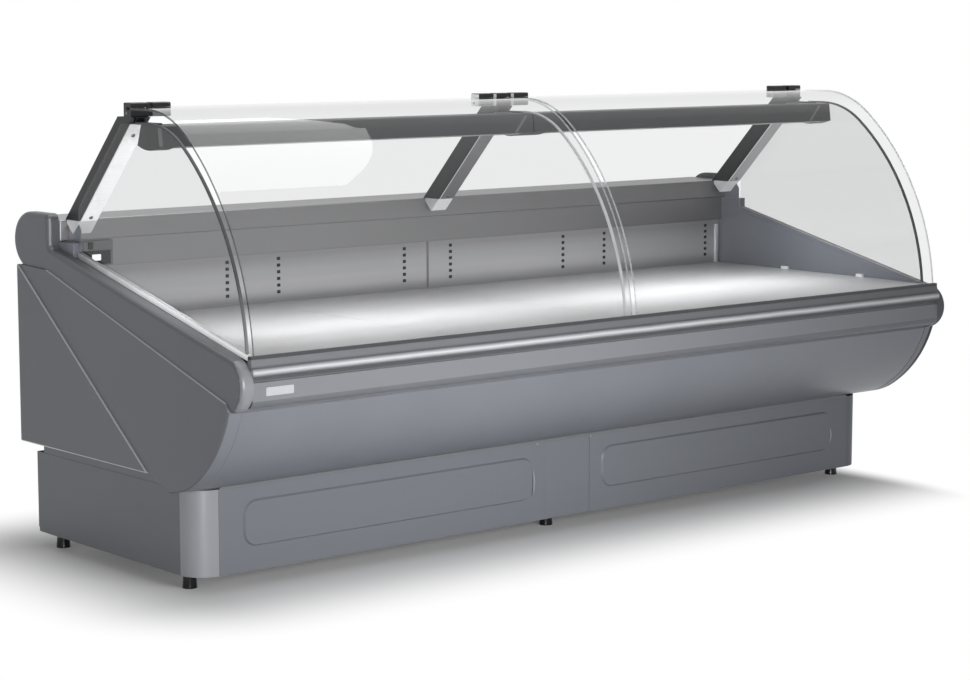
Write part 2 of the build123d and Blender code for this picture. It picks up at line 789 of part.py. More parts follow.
with BuildPart() as bumper_strip:
    with BuildSketch(Plane.YZ.offset(-half)):
        with BuildLine():
            low = (rail_face_y, strip_z - strip_height / 2)
            high = (rail_face_y, strip_z + strip_height / 2)
            ThreePointArc(low, (front_y, strip_z), high)
            Polyline(
                high,
                (rail_face_y + strip_seat_depth, high[1]),
                (rail_face_y + strip_seat_depth, low[1]),
                low,
            )
        make_face()
    extrude(amount=module_length)
keep(bumper_strip, "bumper_strip")

with BuildPart() as glass_rest_seal:
    with BuildSketch(Plane.YZ.offset(-half)):
        with Locations(((upstand_front_y + upstand_back_y) / 2, upstand_z)):
            Rectangle(rail_upstand_width - sheet, seal_height, align=(Align.CENTER, Align.MIN))
    extrude(amount=module_length)
    fillet(glass_rest_seal.edges().filter_by(Axis.X).group_by(Axis.Z)[-1], sheet)
keep(glass_rest_seal, "glass_rest_seal")

# Deck: bars from wall to wall, folded pans on top and small clips at the ends
support_reach = half - liner_thickness
with BuildPart() as deck_supports:
    with Locations((0, (front_wall_in_y + tub_rear_in_y) / 2, ledge_z - support_width / 2)):
        with GridLocations(2 * support_reach / (support_count - 1), 0, support_count, 1):
            Box(support_width, tub_rear_in_y - front_wall_in_y, support_width)
keep(deck_supports, "deck_supports")

pan_front_y = upstand_back_y + seam
pan_depth = back_wall_y - seam - pan_front_y
pan_step = 2 * (liner_x - seam / 2) / pan_count
pan_places = [
    ((index - (pan_count - 1) / 2) * pan_step, pan_front_y + pan_depth / 2, ledge_z)
    for index in range(pan_count)
]
with BuildPart() as deck_pans:
    with Locations(*pan_places):
        Box(
            pan_step - seam, pan_depth, pan_height,
            align=(Align.CENTER, Align.CENTER, Align.MIN),
        )
    fillet(deck_pans.edges().group_by(Axis.Z)[-1], sheet)
    with Locations(*pan_places):
        Box(
            pan_step - seam - 2 * sheet, pan_depth - 2 * sheet, pan_height - sheet,
            align=(Align.CENTER, Align.CENTER, Align.MIN), mode=Mode.SUBTRACT,
        )
keep(deck_pans, "deck_pans")

with BuildPart() as deck_clips:
    with Locations(*[
        (side * (liner_x - clip_width / 2), y, deck_z)
        for side in sides for y in (clip_front_y, clip_rear_y)
    ]):
        Box(clip_width, clip_length, clip_height, align=(Align.CENTER, Align.CENTER, Align.MIN))
    chamfer(deck_clips.edges().filter_by(Axis.Z), sheet)
keep(deck_clips, "deck_clips")

# Back wall: two folded sheets with columns of square holes, the air outlet band and trims
wall_mid = (liner_x - seam) / 2
hole_columns = (
    hole_near_inset,
    wall_mid - hole_inner_shift,
    wall_mid + hole_outer_shift,
    liner_x - hole_far_inset,
)
with BuildPart() as back_walls:
    with BuildSketch(Plane.XZ.offset(-back_wall_y)):
        with Locations((wall_mid, ledge_z + back_wall_height / 2)):
            Rectangle(liner_x - 2 * seam, back_wall_height)
        with Locations(*[(x, ledge_z + hole_field_rise) for x in hole_columns]):
            with GridLocations(0, hole_pitch, 1, hole_rows):
                Rectangle(hole_size, hole_size, mode=Mode.SUBTRACT)
    extrude(amount=-sheet)
    with Locations((wall_mid, (back_wall_y + tub_rear_in_y) / 2, band_z - sheet / 2)):
        Box(liner_x - 2 * seam, tub_rear_in_y - back_wall_y, sheet)
    mirror(about=Plane.YZ)
keep(back_walls, "back_walls")

band_face_y = back_wall_y - band_proud
with BuildPart() as air_outlet_band:
    with BuildSketch(Plane.YZ.offset(-liner_x + seam)):
        with BuildLine():
            Polyline(
                (tub_rear_in_y, band_z),
                (band_face_y, band_z),
                (band_face_y, worktop_low_z),
                (band_face_y + sheet, worktop_low_z),
                (band_face_y + sheet, band_z + sheet),
                (tub_rear_in_y, band_z + sheet),
                close=True,
            )
        make_face()
    extrude(amount=2 * (liner_x - seam))
    fillet(air_outlet_band.edges().filter_by(Axis.X).group_by(Axis.Y)[0].group_by(Axis.Z)[0], band_round)
keep(air_outlet_band, "air_outlet_band")

with BuildPart() as back_wall_trims:
    with Locations((0, back_wall_y - trim_thickness / 2, deck_z + seam + trim_height / 2)):
        with GridLocations(2 * (half - trim_end_inset), 0, 2, 1):
            Box(trim_width, trim_thickness, trim_height)
keep(back_wall_trims, "back_wall_trims")

# Worktop with its folded fascia
with BuildPart() as worktop:
    with BuildSketch(Plane.YZ.offset(-half)):
        with BuildLine():
            Polyline(
                (fascia_y, worktop_z),
                (fascia_y, fascia_low_z),
                (fascia_y + fascia_thickness, fascia_low_z),
                (fascia_y + fascia_thickness, worktop_low_z),
                (rear_y - worktop_rear_inset, worktop_low_z),
                (rear_y - worktop_rear_inset, worktop_z),
                close=True,
            )
        make_face()
    extrude(amount=module_length)
    fillet(worktop.edges().filter_by(Axis.X).group_by(Axis.Y)[0], worktop_edge)
keep(worktop, "worktop")

# Control box on the left end of the air outlet band, with a rocker and a display
control_face_y = band_face_y - control_depth
control_left_x = -half + control_end_inset
control_mid_x = control_left_x + control_width / 2
control_mid_z = (band_z + fascia_low_z) / 2
bezel_z = control_mid_z - control_height / 2 + bezel_low_margin + bezel_height / 2
rocker_x = control_left_x + rocker_side_margin + rocker_width / 2
rocker_z = control_mid_z + control_height / 2 - rocker_top_margin - rocker_height / 2
rocker_axis_y = control_face_y + rocker_axis_depth
rocker_back = rocker_depth - rocker_proud - rocker_axis_depth
rocker_swing = hypot(rocker_height / 2, rocker_proud + rocker_axis_depth) + rest_gap
rocker_dip = rocker_height / 2 * tan(radians(rocker_tilt))
pocket_depth = rocker_axis_depth + rocker_back + rocker_dip + 2 * rest_gap
with BuildPart() as control_box:
    with Locations((control_mid_x, band_face_y - control_depth / 2, control_mid_z)):
        Box(control_width, control_depth, control_height)
    chamfer(control_box.edges().group_by(Axis.Y)[0], sheet)
    with BuildSketch(Plane.XZ.offset(-control_face_y)):
        with Locations((control_mid_x, bezel_z)):
            Rectangle(bezel_width + 2 * rest_gap, bezel_height + 2 * rest_gap)
    extrude(amount=-(bezel_depth - sheet), mode=Mode.SUBTRACT)
    with BuildSketch(Plane.XZ.offset(-control_face_y)):
        with Locations((rocker_x, rocker_z)):
            Rectangle(rocker_width + 2 * rest_gap, 2 * rocker_swing)
    extrude(amount=-pocket_depth, mode=Mode.SUBTRACT)
    with Locations(Location((rocker_x, rocker_axis_y, rocker_z), (0, 90, 0))):
        Cylinder(
            rocker_pin_radius + pin_clearance, rocker_width + 2 * rocker_pin_reach + 2 * rest_gap,
            mode=Mode.SUBTRACT,
        )
keep(control_box, "control_box")

with BuildPart() as display_unit:
    with Locations((control_mid_x, control_face_y - sheet + bezel_depth / 2, bezel_z)):
        Box(bezel_width, bezel_depth, bezel_height)
    fillet(display_unit.edges().group_by(Axis.Y)[0], sheet / 2)
    with Locations((control_mid_x, control_face_y - sheet, bezel_z)):
        Box(screen_width, 2 * screen_depth, screen_height, mode=Mode.SUBTRACT)
keep(display_unit, "display_unit")

with BuildPart() as switch_rocker:
    with BuildSketch(Plane.YZ.offset(-rocker_width / 2)):
        with BuildLine():
            Polyline(
                (-rocker_axis_depth - rocker_proud, rocker_height / 2),
                (-rocker_axis_depth - rocker_proud + rocker_dip, 0),
                (-rocker_axis_depth - rocker_proud, -rocker_height / 2),
                (rocker_back, -rocker_height / 2),
                (rocker_back, rocker_height / 2),
                close=True,
            )
        make_face()
    extrude(amount=rocker_width)
    with Locations(Location((0, 0, 0), (0, 90, 0))):
        Cylinder(rocker_pin_radius, rocker_width + 2 * rocker_pin_reach)
switch_rocker.part = Location((rocker_x, rocker_axis_y, rocker_z), (rocker_tilt, 0, 0)) * switch_rocker.part
keep(switch_rocker, "switch_rocker")

# Evaporator under the deck: finned coil, fan plate, motors and fans
with BuildPart() as evaporator_coil:
    with Locations((0, evaporator_y, floor_top)):
        Box(
            evaporator_length, evaporator_depth, evaporator_height,
            align=(Align.CENTER, Align.CENTER, Align.MIN),
        )
    with BuildSketch(Plane.XZ.offset(-evaporator_y + evaporator_depth / 2)):
        with Locations((0, floor_top + evaporator_height / 2)):
            with GridLocations(evaporator_fin_pitch, 0, int(evaporator_length / evaporator_fin_pitch) - 1, 1):
                Rectangle(fin_gap, evaporator_height - 2 * fin_depth)
    extrude(amount=-fin_depth, mode=Mode.SUBTRACT)
keep(evaporator_coil, "evaporator_coil")

evaporator_fan_z = floor_top + fan_plate_height / 2
with BuildPart() as fan_plate:
    with BuildSketch(Plane.XZ.offset(-fan_plate_y)):
        with Locations((0, evaporator_fan_z)):
            Rectangle(evaporator_length, fan_plate_height)
            with GridLocations(2 * evaporator_fan_x, 0, 2, 1):
                Circle(evaporator_fan_radius + orifice_gap, mode=Mode.SUBTRACT)
    extrude(amount=-sheet)
    with Locations((0, fan_plate_y, floor_top)):
        Box(
            evaporator_length, fan_plate_flange, sheet,
            align=(Align.CENTER, Align.MIN, Align.MIN),
        )
keep(fan_plate, "fan_plate")

evaporator_arm = evaporator_fan_radius + orifice_gap + shroud_wall
with BuildPart() as evaporator_motors:
    for side in sides:
        motor_place = Plane(
            origin=(side * evaporator_fan_x, fan_plate_y + sheet, evaporator_fan_z),
            x_dir=(1, 0, 0), z_dir=(0, 1, 0),
        )
        add(motor_place.location * fan_motor(evaporator_arm))
keep(evaporator_motors, "evaporator_motors")

for name, side in (("evaporator_fan_left", -1), ("evaporator_fan_right", 1)):
    fan_place = Plane(
        origin=(side * evaporator_fan_x, fan_plate_y + sheet - fan_seat, evaporator_fan_z),
        x_dir=(1, 0, 0), z_dir=(0, 1, 0),
    )
    with BuildPart() as evaporator_fan:
        add(fan_place.location * axial_fan(evaporator_fan_radius))
    keep(evaporator_fan, name)

# End panels: three fields of stepped thickness with rounded rims
nose_high = (nose_y - nose_radius * sin(slope), nose_z + nose_radius * cos(slope))
nose_tip = (front_y, nose_z)
head_z = worktop_z + head_height
head_front_y = rear_y - head_front_inset
head_corner = (head_front_y, band_line(head_front_y, nose_radius))
head_top = (rear_y - head_top_inset, head_z)
head_bulge = (rear_y, worktop_z - head_bulge_drop)
head_foot = (panel_rear_y, worktop_z - head_foot_drop)
crease_start = (nose_y, nose_z - crease_start_drop)
crease_bend = (rear_y - crease_bend_inset, worktop_z - crease_bend_drop)
crease_foot = (front_y + crease_foot_inset, tub_bottom)
band_crease = (head_foot, crease_bend, crease_start, belly_top)
rear_crease = (crease_foot, head_foot)


def on_crease(point):
    """Whether a point lies half way along a stretch of the creases."""
    for crease in (band_crease, rear_crease):
        for (y1, z1), (y2, z2) in zip(crease, crease[1:]):
            if hypot(point.Y - (y1 + y2) / 2, point.Z - (z1 + z2) / 2) < seam:
                return True
    return False


def field_prism(field, thickness, soften, rim):
    """Prism of one field of the left end panel, its outer rim softened except at the creases."""
    with BuildPart() as block:
        extrude(field.sketch, amount=thickness, dir=(-1, 0, 0))
        outline = block.faces().sort_by(Axis.X)[0].edges()
        soften([edge for edge in outline if not on_crease(edge.center())], rim)
    return block.part


with BuildSketch(Plane.YZ.offset(-half)) as head_field:
    with BuildLine():
        ThreePointArc(belly_top, nose_tip, nose_high)
        Polyline(nose_high, head_corner, (head_front_y, head_z), head_top)
        ThreePointArc(head_top, head_bulge, head_foot)
        Polyline(*band_crease)
    make_face()
    fillet(head_field.vertices().sort_by_distance(head_corner)[0], head_blend)
    fillet(head_field.vertices().sort_by_distance((head_front_y, head_z))[0], head_round)

with BuildSketch(Plane.YZ.offset(-half)) as front_field:
    with BuildLine():
        belly_lines()
        Polyline(belly_lip, crease_foot, *band_crease)
    make_face()

with BuildSketch(Plane.YZ.offset(-half)) as rear_field:
    with BuildLine():
        Polyline(crease_foot, (panel_rear_y, tub_bottom), head_foot, close=True)
    make_face()

with BuildPart() as end_panel_left:
    add(field_prism(head_field, end_thickness - 2 * panel_skin_step, fillet, edge_round))
    add(field_prism(front_field, end_thickness - panel_skin_step, chamfer, field_chamfer))
    add(field_prism(rear_field, end_thickness, chamfer, field_chamfer))
keep(end_panel_left, "end_panel_left")

with BuildPart() as end_panel_right:
    add(mirror(end_panel_left.part, about=Plane.YZ))
keep(end_panel_right, "end_panel_right")

# End walls of the display, with the channels, panes and seals that stand on them
channel_low = nose_radius - (channel_height - channel_seat) * cos(slope)
channel_high = channel_low + channel_height * cos(slope)
end_pane_rear_y = fascia_y - end_pane_rear_gap
channel_front_y = pane_foot_y + channel_front_reach
with BuildPart() as end_liners:
    with BuildSketch(Plane.YZ.offset(liner_x)):
        with BuildLine():
            Polyline(
                (rail_back_y, ledge_z),
                (back_wall_y, ledge_z),
                (back_wall_y, fascia_low_z),
                (end_pane_rear_y + seam, fascia_low_z),
                (end_pane_rear_y + seam, band_line(end_pane_rear_y, channel_low)),
                (rail_back_y, band_line(rail_back_y, channel_low)),
                close=True,
            )
        make_face()
    extrude(amount=liner_thickness)
    mirror(about=Plane.YZ)
keep(end_liners, "end_liners")

channel_x = end_pane_x - pane_thickness / 2
with BuildPart() as end_glass_channels:
    with BuildSketch(Plane.YZ.offset(channel_x - channel_width / 2)):
        with BuildLine():
            Polyline(
                (channel_front_y, band_line(channel_front_y, channel_low)),
                (end_pane_rear_y, band_line(end_pane_rear_y, channel_low)),
                (end_pane_rear_y, band_line(end_pane_rear_y, channel_high)),
                (channel_front_y, band_line(channel_front_y, channel_high)),
                close=True,
            )
        make_face()
    extrude(amount=channel_width)
    with BuildSketch(Plane.YZ.offset(end_pane_x - pane_thickness - rest_gap)):
        with BuildLine():
            Polyline(
                (front_y, band_line(front_y, nose_radius)),
                (rear_y, band_line(rear_y, nose_radius)),
                (rear_y, band_line(rear_y, channel_high) + channel_height),
                (front_y, band_line(front_y, channel_high) + channel_height),
                close=True,
            )
        make_face()
    extrude(amount=pane_thickness + 2 * rest_gap, mode=Mode.SUBTRACT)
    mirror(about=Plane.YZ)
keep(end_glass_channels, "end_glass_channels")

edge_inset = rib_inset + seal_depth
edge_z = pane_top - edge_inset
post_front_shift = -post_half_y
rear_shift = post_front_shift + end_pane_overlap / cos(lean)
edge_bend_z = worktop_z + (post_foot_y + rear_shift - end_pane_rear_y) / tan(lean)
end_pane_low = (end_pane_rear_y, band_line(end_pane_rear_y, nose_radius))
with BuildPart() as end_glass:
    with BuildSketch(Plane.YZ.offset(end_pane_x - pane_thickness)) as end_pane_outline:
        with BuildLine():
            edge_foot, edge_end = pane_lines(edge_inset, post_line(edge_z, rear_shift))
            Polyline(
                edge_end,
                (end_pane_rear_y, edge_bend_z),
                end_pane_low,
                (edge_foot.X, band_line(edge_foot.X, nose_radius)),
                edge_foot,
            )
        make_face()
        fillet(end_pane_outline.vertices().sort_by_distance(end_pane_low)[0], end_pane_corner)
    extrude(amount=pane_thickness)
    mirror(about=Plane.YZ)
keep(end_glass, "end_glass")

with BuildPart() as end_glass_seals:
    with BuildSketch(Plane.YZ.offset(channel_x - seal_width / 2)):
        with BuildLine():
            outer_foot, outer_end = pane_lines(rib_inset, seal_end_y)
            inner_foot, inner_end = pane_lines(edge_inset, seal_end_y)
            Line(outer_foot, inner_foot)
            Line(outer_end, inner_end)
        make_face()
        with BuildLine():
            Polyline(
                (front_y, ledge_z),
                (back_wall_y, ledge_z),
                (back_wall_y, band_line(back_wall_y, channel_high)),
                (front_y, band_line(front_y, channel_high)),
                close=True,
            )
        make_face(mode=Mode.SUBTRACT)
    extrude(amount=seal_width)
    mirror(about=Plane.YZ)
keep(end_glass_seals, "end_glass_seals")

rib_end_y = canopy_rear_y - bracket_reach - seam
with BuildPart() as centre_rib:
    with BuildSketch(Plane.YZ.offset(-rib_width / 2)):
        with BuildLine():
            outer_foot, outer_end = pane_lines(rib_inset, rib_end_y)
            inner_foot, inner_end = pane_lines(rib_inset + rib_depth, rib_end_y)
            Line(outer_foot, inner_foot)
            Line(outer_end, inner_end)
        make_face()
        with Locations((rail_back_y, deck_z)):
            Rectangle(depth, pan_height, align=(Align.CENTER, Align.MAX), mode=Mode.SUBTRACT)
    extrude(amount=rib_width)
keep(centre_rib, "centre_rib")

# Leaning posts with light strips on their fronts and V-shaped feet before the fascia
def post_band(front, rear, low_z, high_z):
    """Outline of a bar along the posts, between two level shifts from their axis."""
    return [
        (post_line(low_z, front), low_z),
        (post_line(low_z, rear), low_z),
        (post_line(high_z, rear), high_z),
        (post_line(high_z, front), high_z),
    ]


hollow_half = post_half_y - post_wall / cos(lean)
with BuildPart() as posts:
    for x in post_xs:
        add(prism(post_band(-post_half_y, post_half_y, worktop_z, pad_z), x, post_width))
        add(
            prism(post_band(-hollow_half, hollow_half, worktop_z, pad_z), x, post_width - 2 * post_wall),
            mode=Mode.SUBTRACT,
        )
keep(posts, "posts")

strip_front = -post_half_y - strip_thickness / cos(lean)
strip_outline = post_band(strip_front, -post_half_y, worktop_z, canopy_top - seam)
with BuildPart() as post_strips:
    for x in post_xs:
        add(prism(strip_outline, x, post_width - 2 * strip_margin))
keep(post_strips, "post_strips")

# A foot closes the square-cut lower end of its post and rests against the fascia.
post_back_y = post_line(worktop_z, post_half_y)
foot_tip = (post_back_y - post_depth * cos(lean), worktop_z - post_depth * sin(lean))
foot_outline = [
    (post_line(worktop_z, -post_half_y), worktop_z),
    foot_tip,
    (fascia_y, worktop_z - (post_back_y - fascia_y) * tan(lean)),
    (fascia_y, worktop_z),
]
with BuildPart() as post_feet:
    for x in post_xs:
        add(prism(foot_outline, x, post_width))
keep(post_feet, "post_feet")

# Canopies: lamp housings with end caps and milky lenses, hung from the posts by brackets
canopy_end = half - canopy_end_inset
lens_front_y = canopy_rear_y - canopy_bottom_width + lens_margin
lens_rear_y = canopy_rear_y - lens_margin
canopy_outline = [
    (canopy_rear_y - canopy_bottom_width, canopy_low),
    (canopy_rear_y, canopy_low),
    (canopy_rear_y - canopy_rear_slope, canopy_top),
    (canopy_rear_y - canopy_rear_slope - canopy_top_width, canopy_top),
]
body_start = canopy_joint + cap_length
body_end = canopy_end - cap_length
body_mid = (body_start + body_end) / 2
with BuildPart() as canopies:
    add(prism(canopy_outline, body_mid, body_end - body_start))
    fillet(canopies.edges().filter_by(Axis.X).group_by(Axis.Z)[-1], canopy_edge)
    mirror(about=Plane.YZ)
keep(canopies, "canopies")



def cap_belly(start):
    """Rounded underside of an end cap, flat on top."""
    middle = ((lens_front_y + lens_rear_y) / 2, canopy_low - cap_sagitta)
    with BuildPart() as bar:
        with BuildSketch(Plane.YZ.offset(start)):
            with BuildLine():
                ThreePointArc((lens_front_y, canopy_low), middle, (lens_rear_y, canopy_low))
                Line((lens_rear_y, canopy_low), (lens_front_y, canopy_low))
            make_face()
        extrude(amount=cap_length)
    return bar.part


with BuildPart() as canopy_end_caps:
    for start in (canopy_joint, body_end):
        add(prism(canopy_outline, start + cap_length / 2, cap_length))
        add(cap_belly(start))
    fillet(canopy_end_caps.edges().filter_by(Axis.X).group_by(Axis.Z)[-1], canopy_edge)
    mirror(about=Plane.YZ)
keep(canopy_end_caps, "canopy_end_caps")

lens_low = canopy_low - lens_depth
lens_outline = (
    (lens_front_y, canopy_low), (lens_front_y + lens_bevel, lens_low),
    (lens_rear_y - lens_bevel, lens_low), (lens_rear_y, canopy_low),
)
with BuildPart() as lamp_lenses:
    add(prism(lens_outline, (body_start + body_end) / 2, body_end - body_start))
    mirror(about=Plane.YZ)
keep(lamp_lenses, "lamp_lenses")

bracket_front = -post_half_y - bracket_thickness / cos(lean)
bracket_low_z = canopy_top + bracket_thickness
bracket_high_z = pad_z - seam
bracket_start_y = canopy_rear_y - bracket_reach
bracket_outline = [
    (bracket_start_y, canopy_top),
    (post_line(canopy_top, -post_half_y), canopy_top),
    (post_line(bracket_high_z, -post_half_y), bracket_high_z),
    (post_line(bracket_high_z, bracket_front), bracket_high_z),
    (post_line(bracket_low_z, bracket_front), bracket_low_z),
    (bracket_start_y, bracket_low_z),
]
with BuildPart() as canopy_brackets:
    for x in post_xs:
        add(prism(bracket_outline, x, bracket_width))
keep(canopy_brackets, "canopy_brackets")

# Hinge columns: lower jaws, upper jaws and pins, fixed ones on the posts
pad_outline = [
    (column_front_y, pad_z),
    (column_rear_y, pad_z),
    (column_rear_y, jaw_z),
    (column_front_y, jaw_z),
]
cap_low_z = pane_top + rest_gap
cap_high_z = pane_top + cap_thickness
leg_y = pane_rear_y + notch_gap
cap_outline = [
    (column_front_y, cap_low_z),
    (leg_y, cap_low_z),
    (leg_y, jaw_z),
    (column_rear_y, jaw_z),
    (column_rear_y, cap_high_z),
    (column_front_y, cap_high_z),
]


def jaw_pads(xs):
    """Lower jaws of hinge columns, bored for the pin."""
    with BuildPart() as pads:
        for x in xs:
            add(prism(pad_outline, x, column_width))
        chamfer(pads.edges().filter_by(Axis.X).group_by(Axis.Z)[0], sheet)
        with Locations(*[Location((x, hinge_y, hinge_z), (0, 90, 0)) for x in xs]):
            Cylinder(pin_radius + pin_clearance, 2 * column_width, mode=Mode.SUBTRACT)
    return pads.part


def jaw_caps(xs):
    """Upper jaws of hinge columns, with a leg behind the pane."""
    with BuildPart() as caps:
        for x in xs:
            add(prism(cap_outline, x, column_width))
        chamfer(caps.edges().group_by(Axis.Z)[-1], sheet)
    return caps.part


column_step = column_width + column_gap
clamp_xs = (column_step, post_x - column_step)
with BuildPart() as hinge_brackets:
    add(jaw_pads(post_xs))
    add(jaw_caps(post_xs))
keep(hinge_brackets, "hinge_brackets")

pin_spans = (
    (-column_step - column_width / 2, column_step + column_width / 2),
    (-post_x - column_width / 2, -post_x + column_step + column_width / 2),
    (post_x - column_step - column_width / 2, post_x + column_width / 2),
)
with BuildPart() as hinge_pins:
    for start, end in pin_spans:
        with Locations(Location(((start + end) / 2, hinge_y, hinge_z), (0, 90, 0))):
            Cylinder(pin_radius, end - start)
keep(hinge_pins, "hinge_pins")

# Front panes, each carried by two clamps that turn on the pins
column_swing = hypot(hinge_y - column_front_y + swing_gap, cap_high_z - hinge_z)
notch_y = hinge_y - sqrt(column_swing**2 - (jaw_z - hinge_z)**2)
for name, side in (("left", -1), ("right", 1)):
    pane_start = pane_joint / 2
    pane_end = half - pane_end_inset
    with BuildPart() as front_glass:
        with BuildSketch(Plane.YZ.offset(side * pane_start)):
            with BuildLine():
                outer_foot, outer_end = pane_lines(0, pane_rear_y)
                inner_foot, inner_end = pane_lines(pane_thickness, pane_rear_y)
                Line(outer_foot, inner_foot)
                Line(outer_end, inner_end)
            make_face()
        extrude(amount=side * (pane_end - pane_start))
        for low, high in (
            (pane_start, column_width / 2 + column_gap),
            (post_x - column_width / 2 - notch_gap, pane_end),
        ):
            with Locations((side * (low + high) / 2, notch_y, pane_top)):
                Box(
                    high - low, depth, depth,
                    align=(Align.CENTER, Align.MIN, Align.CENTER), mode=Mode.SUBTRACT,
                )
    keep(front_glass, f"front_glass_{name}")

    with BuildPart() as glass_clamps:
        add(jaw_pads([side * x for x in clamp_xs]))
        add(jaw_caps([side * x for x in clamp_xs]))
    keep(glass_clamps, f"glass_clamps_{name}")
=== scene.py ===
from math import cos, pi, radians, sin

import bmesh
import bpy
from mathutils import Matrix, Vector


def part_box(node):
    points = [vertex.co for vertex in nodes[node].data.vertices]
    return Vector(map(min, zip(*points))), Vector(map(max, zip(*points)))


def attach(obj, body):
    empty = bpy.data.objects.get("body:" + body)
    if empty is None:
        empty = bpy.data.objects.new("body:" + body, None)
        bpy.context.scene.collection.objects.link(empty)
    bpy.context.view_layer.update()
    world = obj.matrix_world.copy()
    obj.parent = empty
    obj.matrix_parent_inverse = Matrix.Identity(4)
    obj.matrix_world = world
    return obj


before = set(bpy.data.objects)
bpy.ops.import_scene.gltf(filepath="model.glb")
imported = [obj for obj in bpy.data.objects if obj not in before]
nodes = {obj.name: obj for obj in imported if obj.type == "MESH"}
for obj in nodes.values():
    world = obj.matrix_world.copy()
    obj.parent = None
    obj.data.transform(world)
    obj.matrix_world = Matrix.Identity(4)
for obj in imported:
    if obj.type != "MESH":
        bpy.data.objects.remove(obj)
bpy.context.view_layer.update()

x_axis = Vector((1, 0, 0))
y_axis = Vector((0, 1, 0))
z_axis = Vector((0, 0, 1))

# Camera of the photograph, with its lens and sensor in millimetres
camera_place = Vector((-4.5185, -5.2606, 1.4340))
camera_forward = Vector((0.6385, 0.7583, -0.1316))
camera_lens = 90.28
camera_sensor = 36.0

# Colours, as they look on the screen
end_grey = (99, 101, 106)
# Painted highlight for the creases and foot rim of the end panels, which also glows
crease_highlight_grey = (148, 150, 154)
# Neck skirt, which glows faintly: painted light in the shaded neck
neck_glow_grey = (112, 114, 119)
# Lit and shaded copies of the end plastic for the noses: painted light on the left one, painted shade on the
# right one
nose_lit_grey = (137, 139, 143)
nose_shaded_grey = (84, 85, 89)
# Base paint, with a copy painted darker toward the right as shade
skin_grey = (114, 117, 123)
skin_shaded_grey = (103, 106, 112)
# Lit and shaded copies of the corner trim paint: painted light on the left trims, painted shade on the right
# ones; the lit one also serves the light crescents and the cover screws
trim_lit_grey = (144, 146, 151)
trim_shaded_grey = (104, 106, 111)
tub_grey = (120, 123, 130)
liner_grey = (118, 122, 130)
# Rail paint, with a copy painted darker toward the right as shade
rail_grey = (127, 129, 134)
rail_shaded_grey = (117, 119, 124)
# Rail slope and lower roll: copies of the rail paint painted darker as shade
rail_top_grey = (113, 115, 119)
rail_top_shaded_grey = (92, 94, 98)
rail_low_shaded_grey = (108, 110, 115)
# Bumper edges and its painted highlight line
bumper_grey = (104, 106, 110)
bumper_highlight_grey = (204, 206, 209)
# Canopy and post paints, painted lighter or darker along the counter as light and shade
graphite = (72, 73, 75)
graphite_shaded = (54, 55, 57)
post_near_grey = (47, 48, 50)
post_grey = (63, 64, 66)
post_shaded_grey = (22, 23, 25)
pad_grey = (168, 170, 173)
deck_silver = (198, 198, 199)
# Back wall: painted lighter in its middle, with painted shade at its foot by the deck and at its top under
# the band
wall_foot_shaded_silver = (158, 158, 160)
wall_silver = (204, 204, 206)
wall_mid_silver = (187, 187, 189)
wall_top_shaded_silver = (158, 158, 160)
# Band and worktop, with copies painted darker toward the right as shade
band_silver = (148, 148, 149)
band_shaded_silver = (112, 112, 113)
worktop_silver = (143, 143, 144)
worktop_shaded_silver = (112, 112, 113)
aluminium = (214, 216, 219)
strip_metal_grey = (170, 171, 172)
# Shaded copy of the strip aluminium for the middle post strip, painted shade; it also covers the wall joint
strip_shaded_grey = (124, 124, 125)
seam_and_highlight_grey = (116, 117, 119)
edge_grey = (214, 219, 221)
rim_grey = (74, 76, 78)
zinc = (112, 114, 118)
fan_black = (32, 33, 35)
rubber_black = (24, 24, 26)
seal_grey = (62, 64, 66)
seal_pale_grey = (140, 142, 144)
seal_mid_grey = (78, 80, 82)
# Black of the feet, also used for painted shadow
foot_and_shadow_black = (16, 16, 18)
iron_black = (40, 41, 43)
# White of plastic parts, also used for glowing painted highlights and the lit display window
white_plastic = (236, 237, 238)
box_grey = (112, 113, 116)
display_black = (34, 35, 38)
lens_white = (150, 151, 152)
plate_silver = (186, 187, 190)

# Light that passes the left front pane, the right one and the end panes, and any of them seen edge on
left_tint = (0.905, 0.906, 0.907)
right_tint = (0.93, 0.931, 0.932)
end_tint = (0.885, 0.886, 0.888)
edge_tint = (0.79, 0.792, 0.795)

# Heights on the front rail: the roll at its foot, the groove above it and the bumper strip
roll_top = 0.5265
groove_low = 0.5705
groove_mid = 0.576
bumper_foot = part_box("bumper_strip")[0].z
bumper_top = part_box("bumper_strip")[1].z

# Shades of graded surfaces, as places along their axis in metres and colours.
# The base, rail, canopy, post, band and worktop shades are painted light and shade that change along X as
# the light falls;
# the wall is painted lighter in its middle with painted shade at its foot and top; the rail's slope and
# groove are painted darker as shade by the bumper; the right rim blackens as painted shade at its outer
# edge; the channel is painted white as a highlight that fades toward the rear; the left seal is lighter
# towards its foot
base_shades = ((0.2, skin_grey), (1.2, skin_shaded_grey))
rail_shades = ((0.0, rail_grey), (1.25, rail_shaded_grey))
slope_shades = ((bumper_top, rail_top_shaded_grey), (0.612, rail_top_grey), (0.626, rail_top_grey))
groove_shades = ((groove_low, rail_grey), (groove_mid, seal_mid_grey), (bumper_foot, seal_mid_grey))
canopy_shades = ((-0.4, graphite), (1.1, graphite_shaded))
post_shades = ((-1.2, post_near_grey), (0.0, post_grey), (1.2, post_shaded_grey))
wall_shades = (
    (0.638, wall_foot_shaded_silver), (0.669, wall_silver), (0.69, wall_silver),
    (0.724, wall_mid_silver), (0.76, wall_top_shaded_silver),
)
band_shades = ((-0.4, band_silver), (1.1, band_shaded_silver))
worktop_shades = ((-0.4, worktop_silver), (1.1, worktop_shaded_silver))
channel_highlight_shades = ((-0.5, white_plastic), (-0.05, white_plastic), (0.28, box_grey))
left_seal_shades = ((0.63, seal_pale_grey), (0.8, seal_mid_grey))
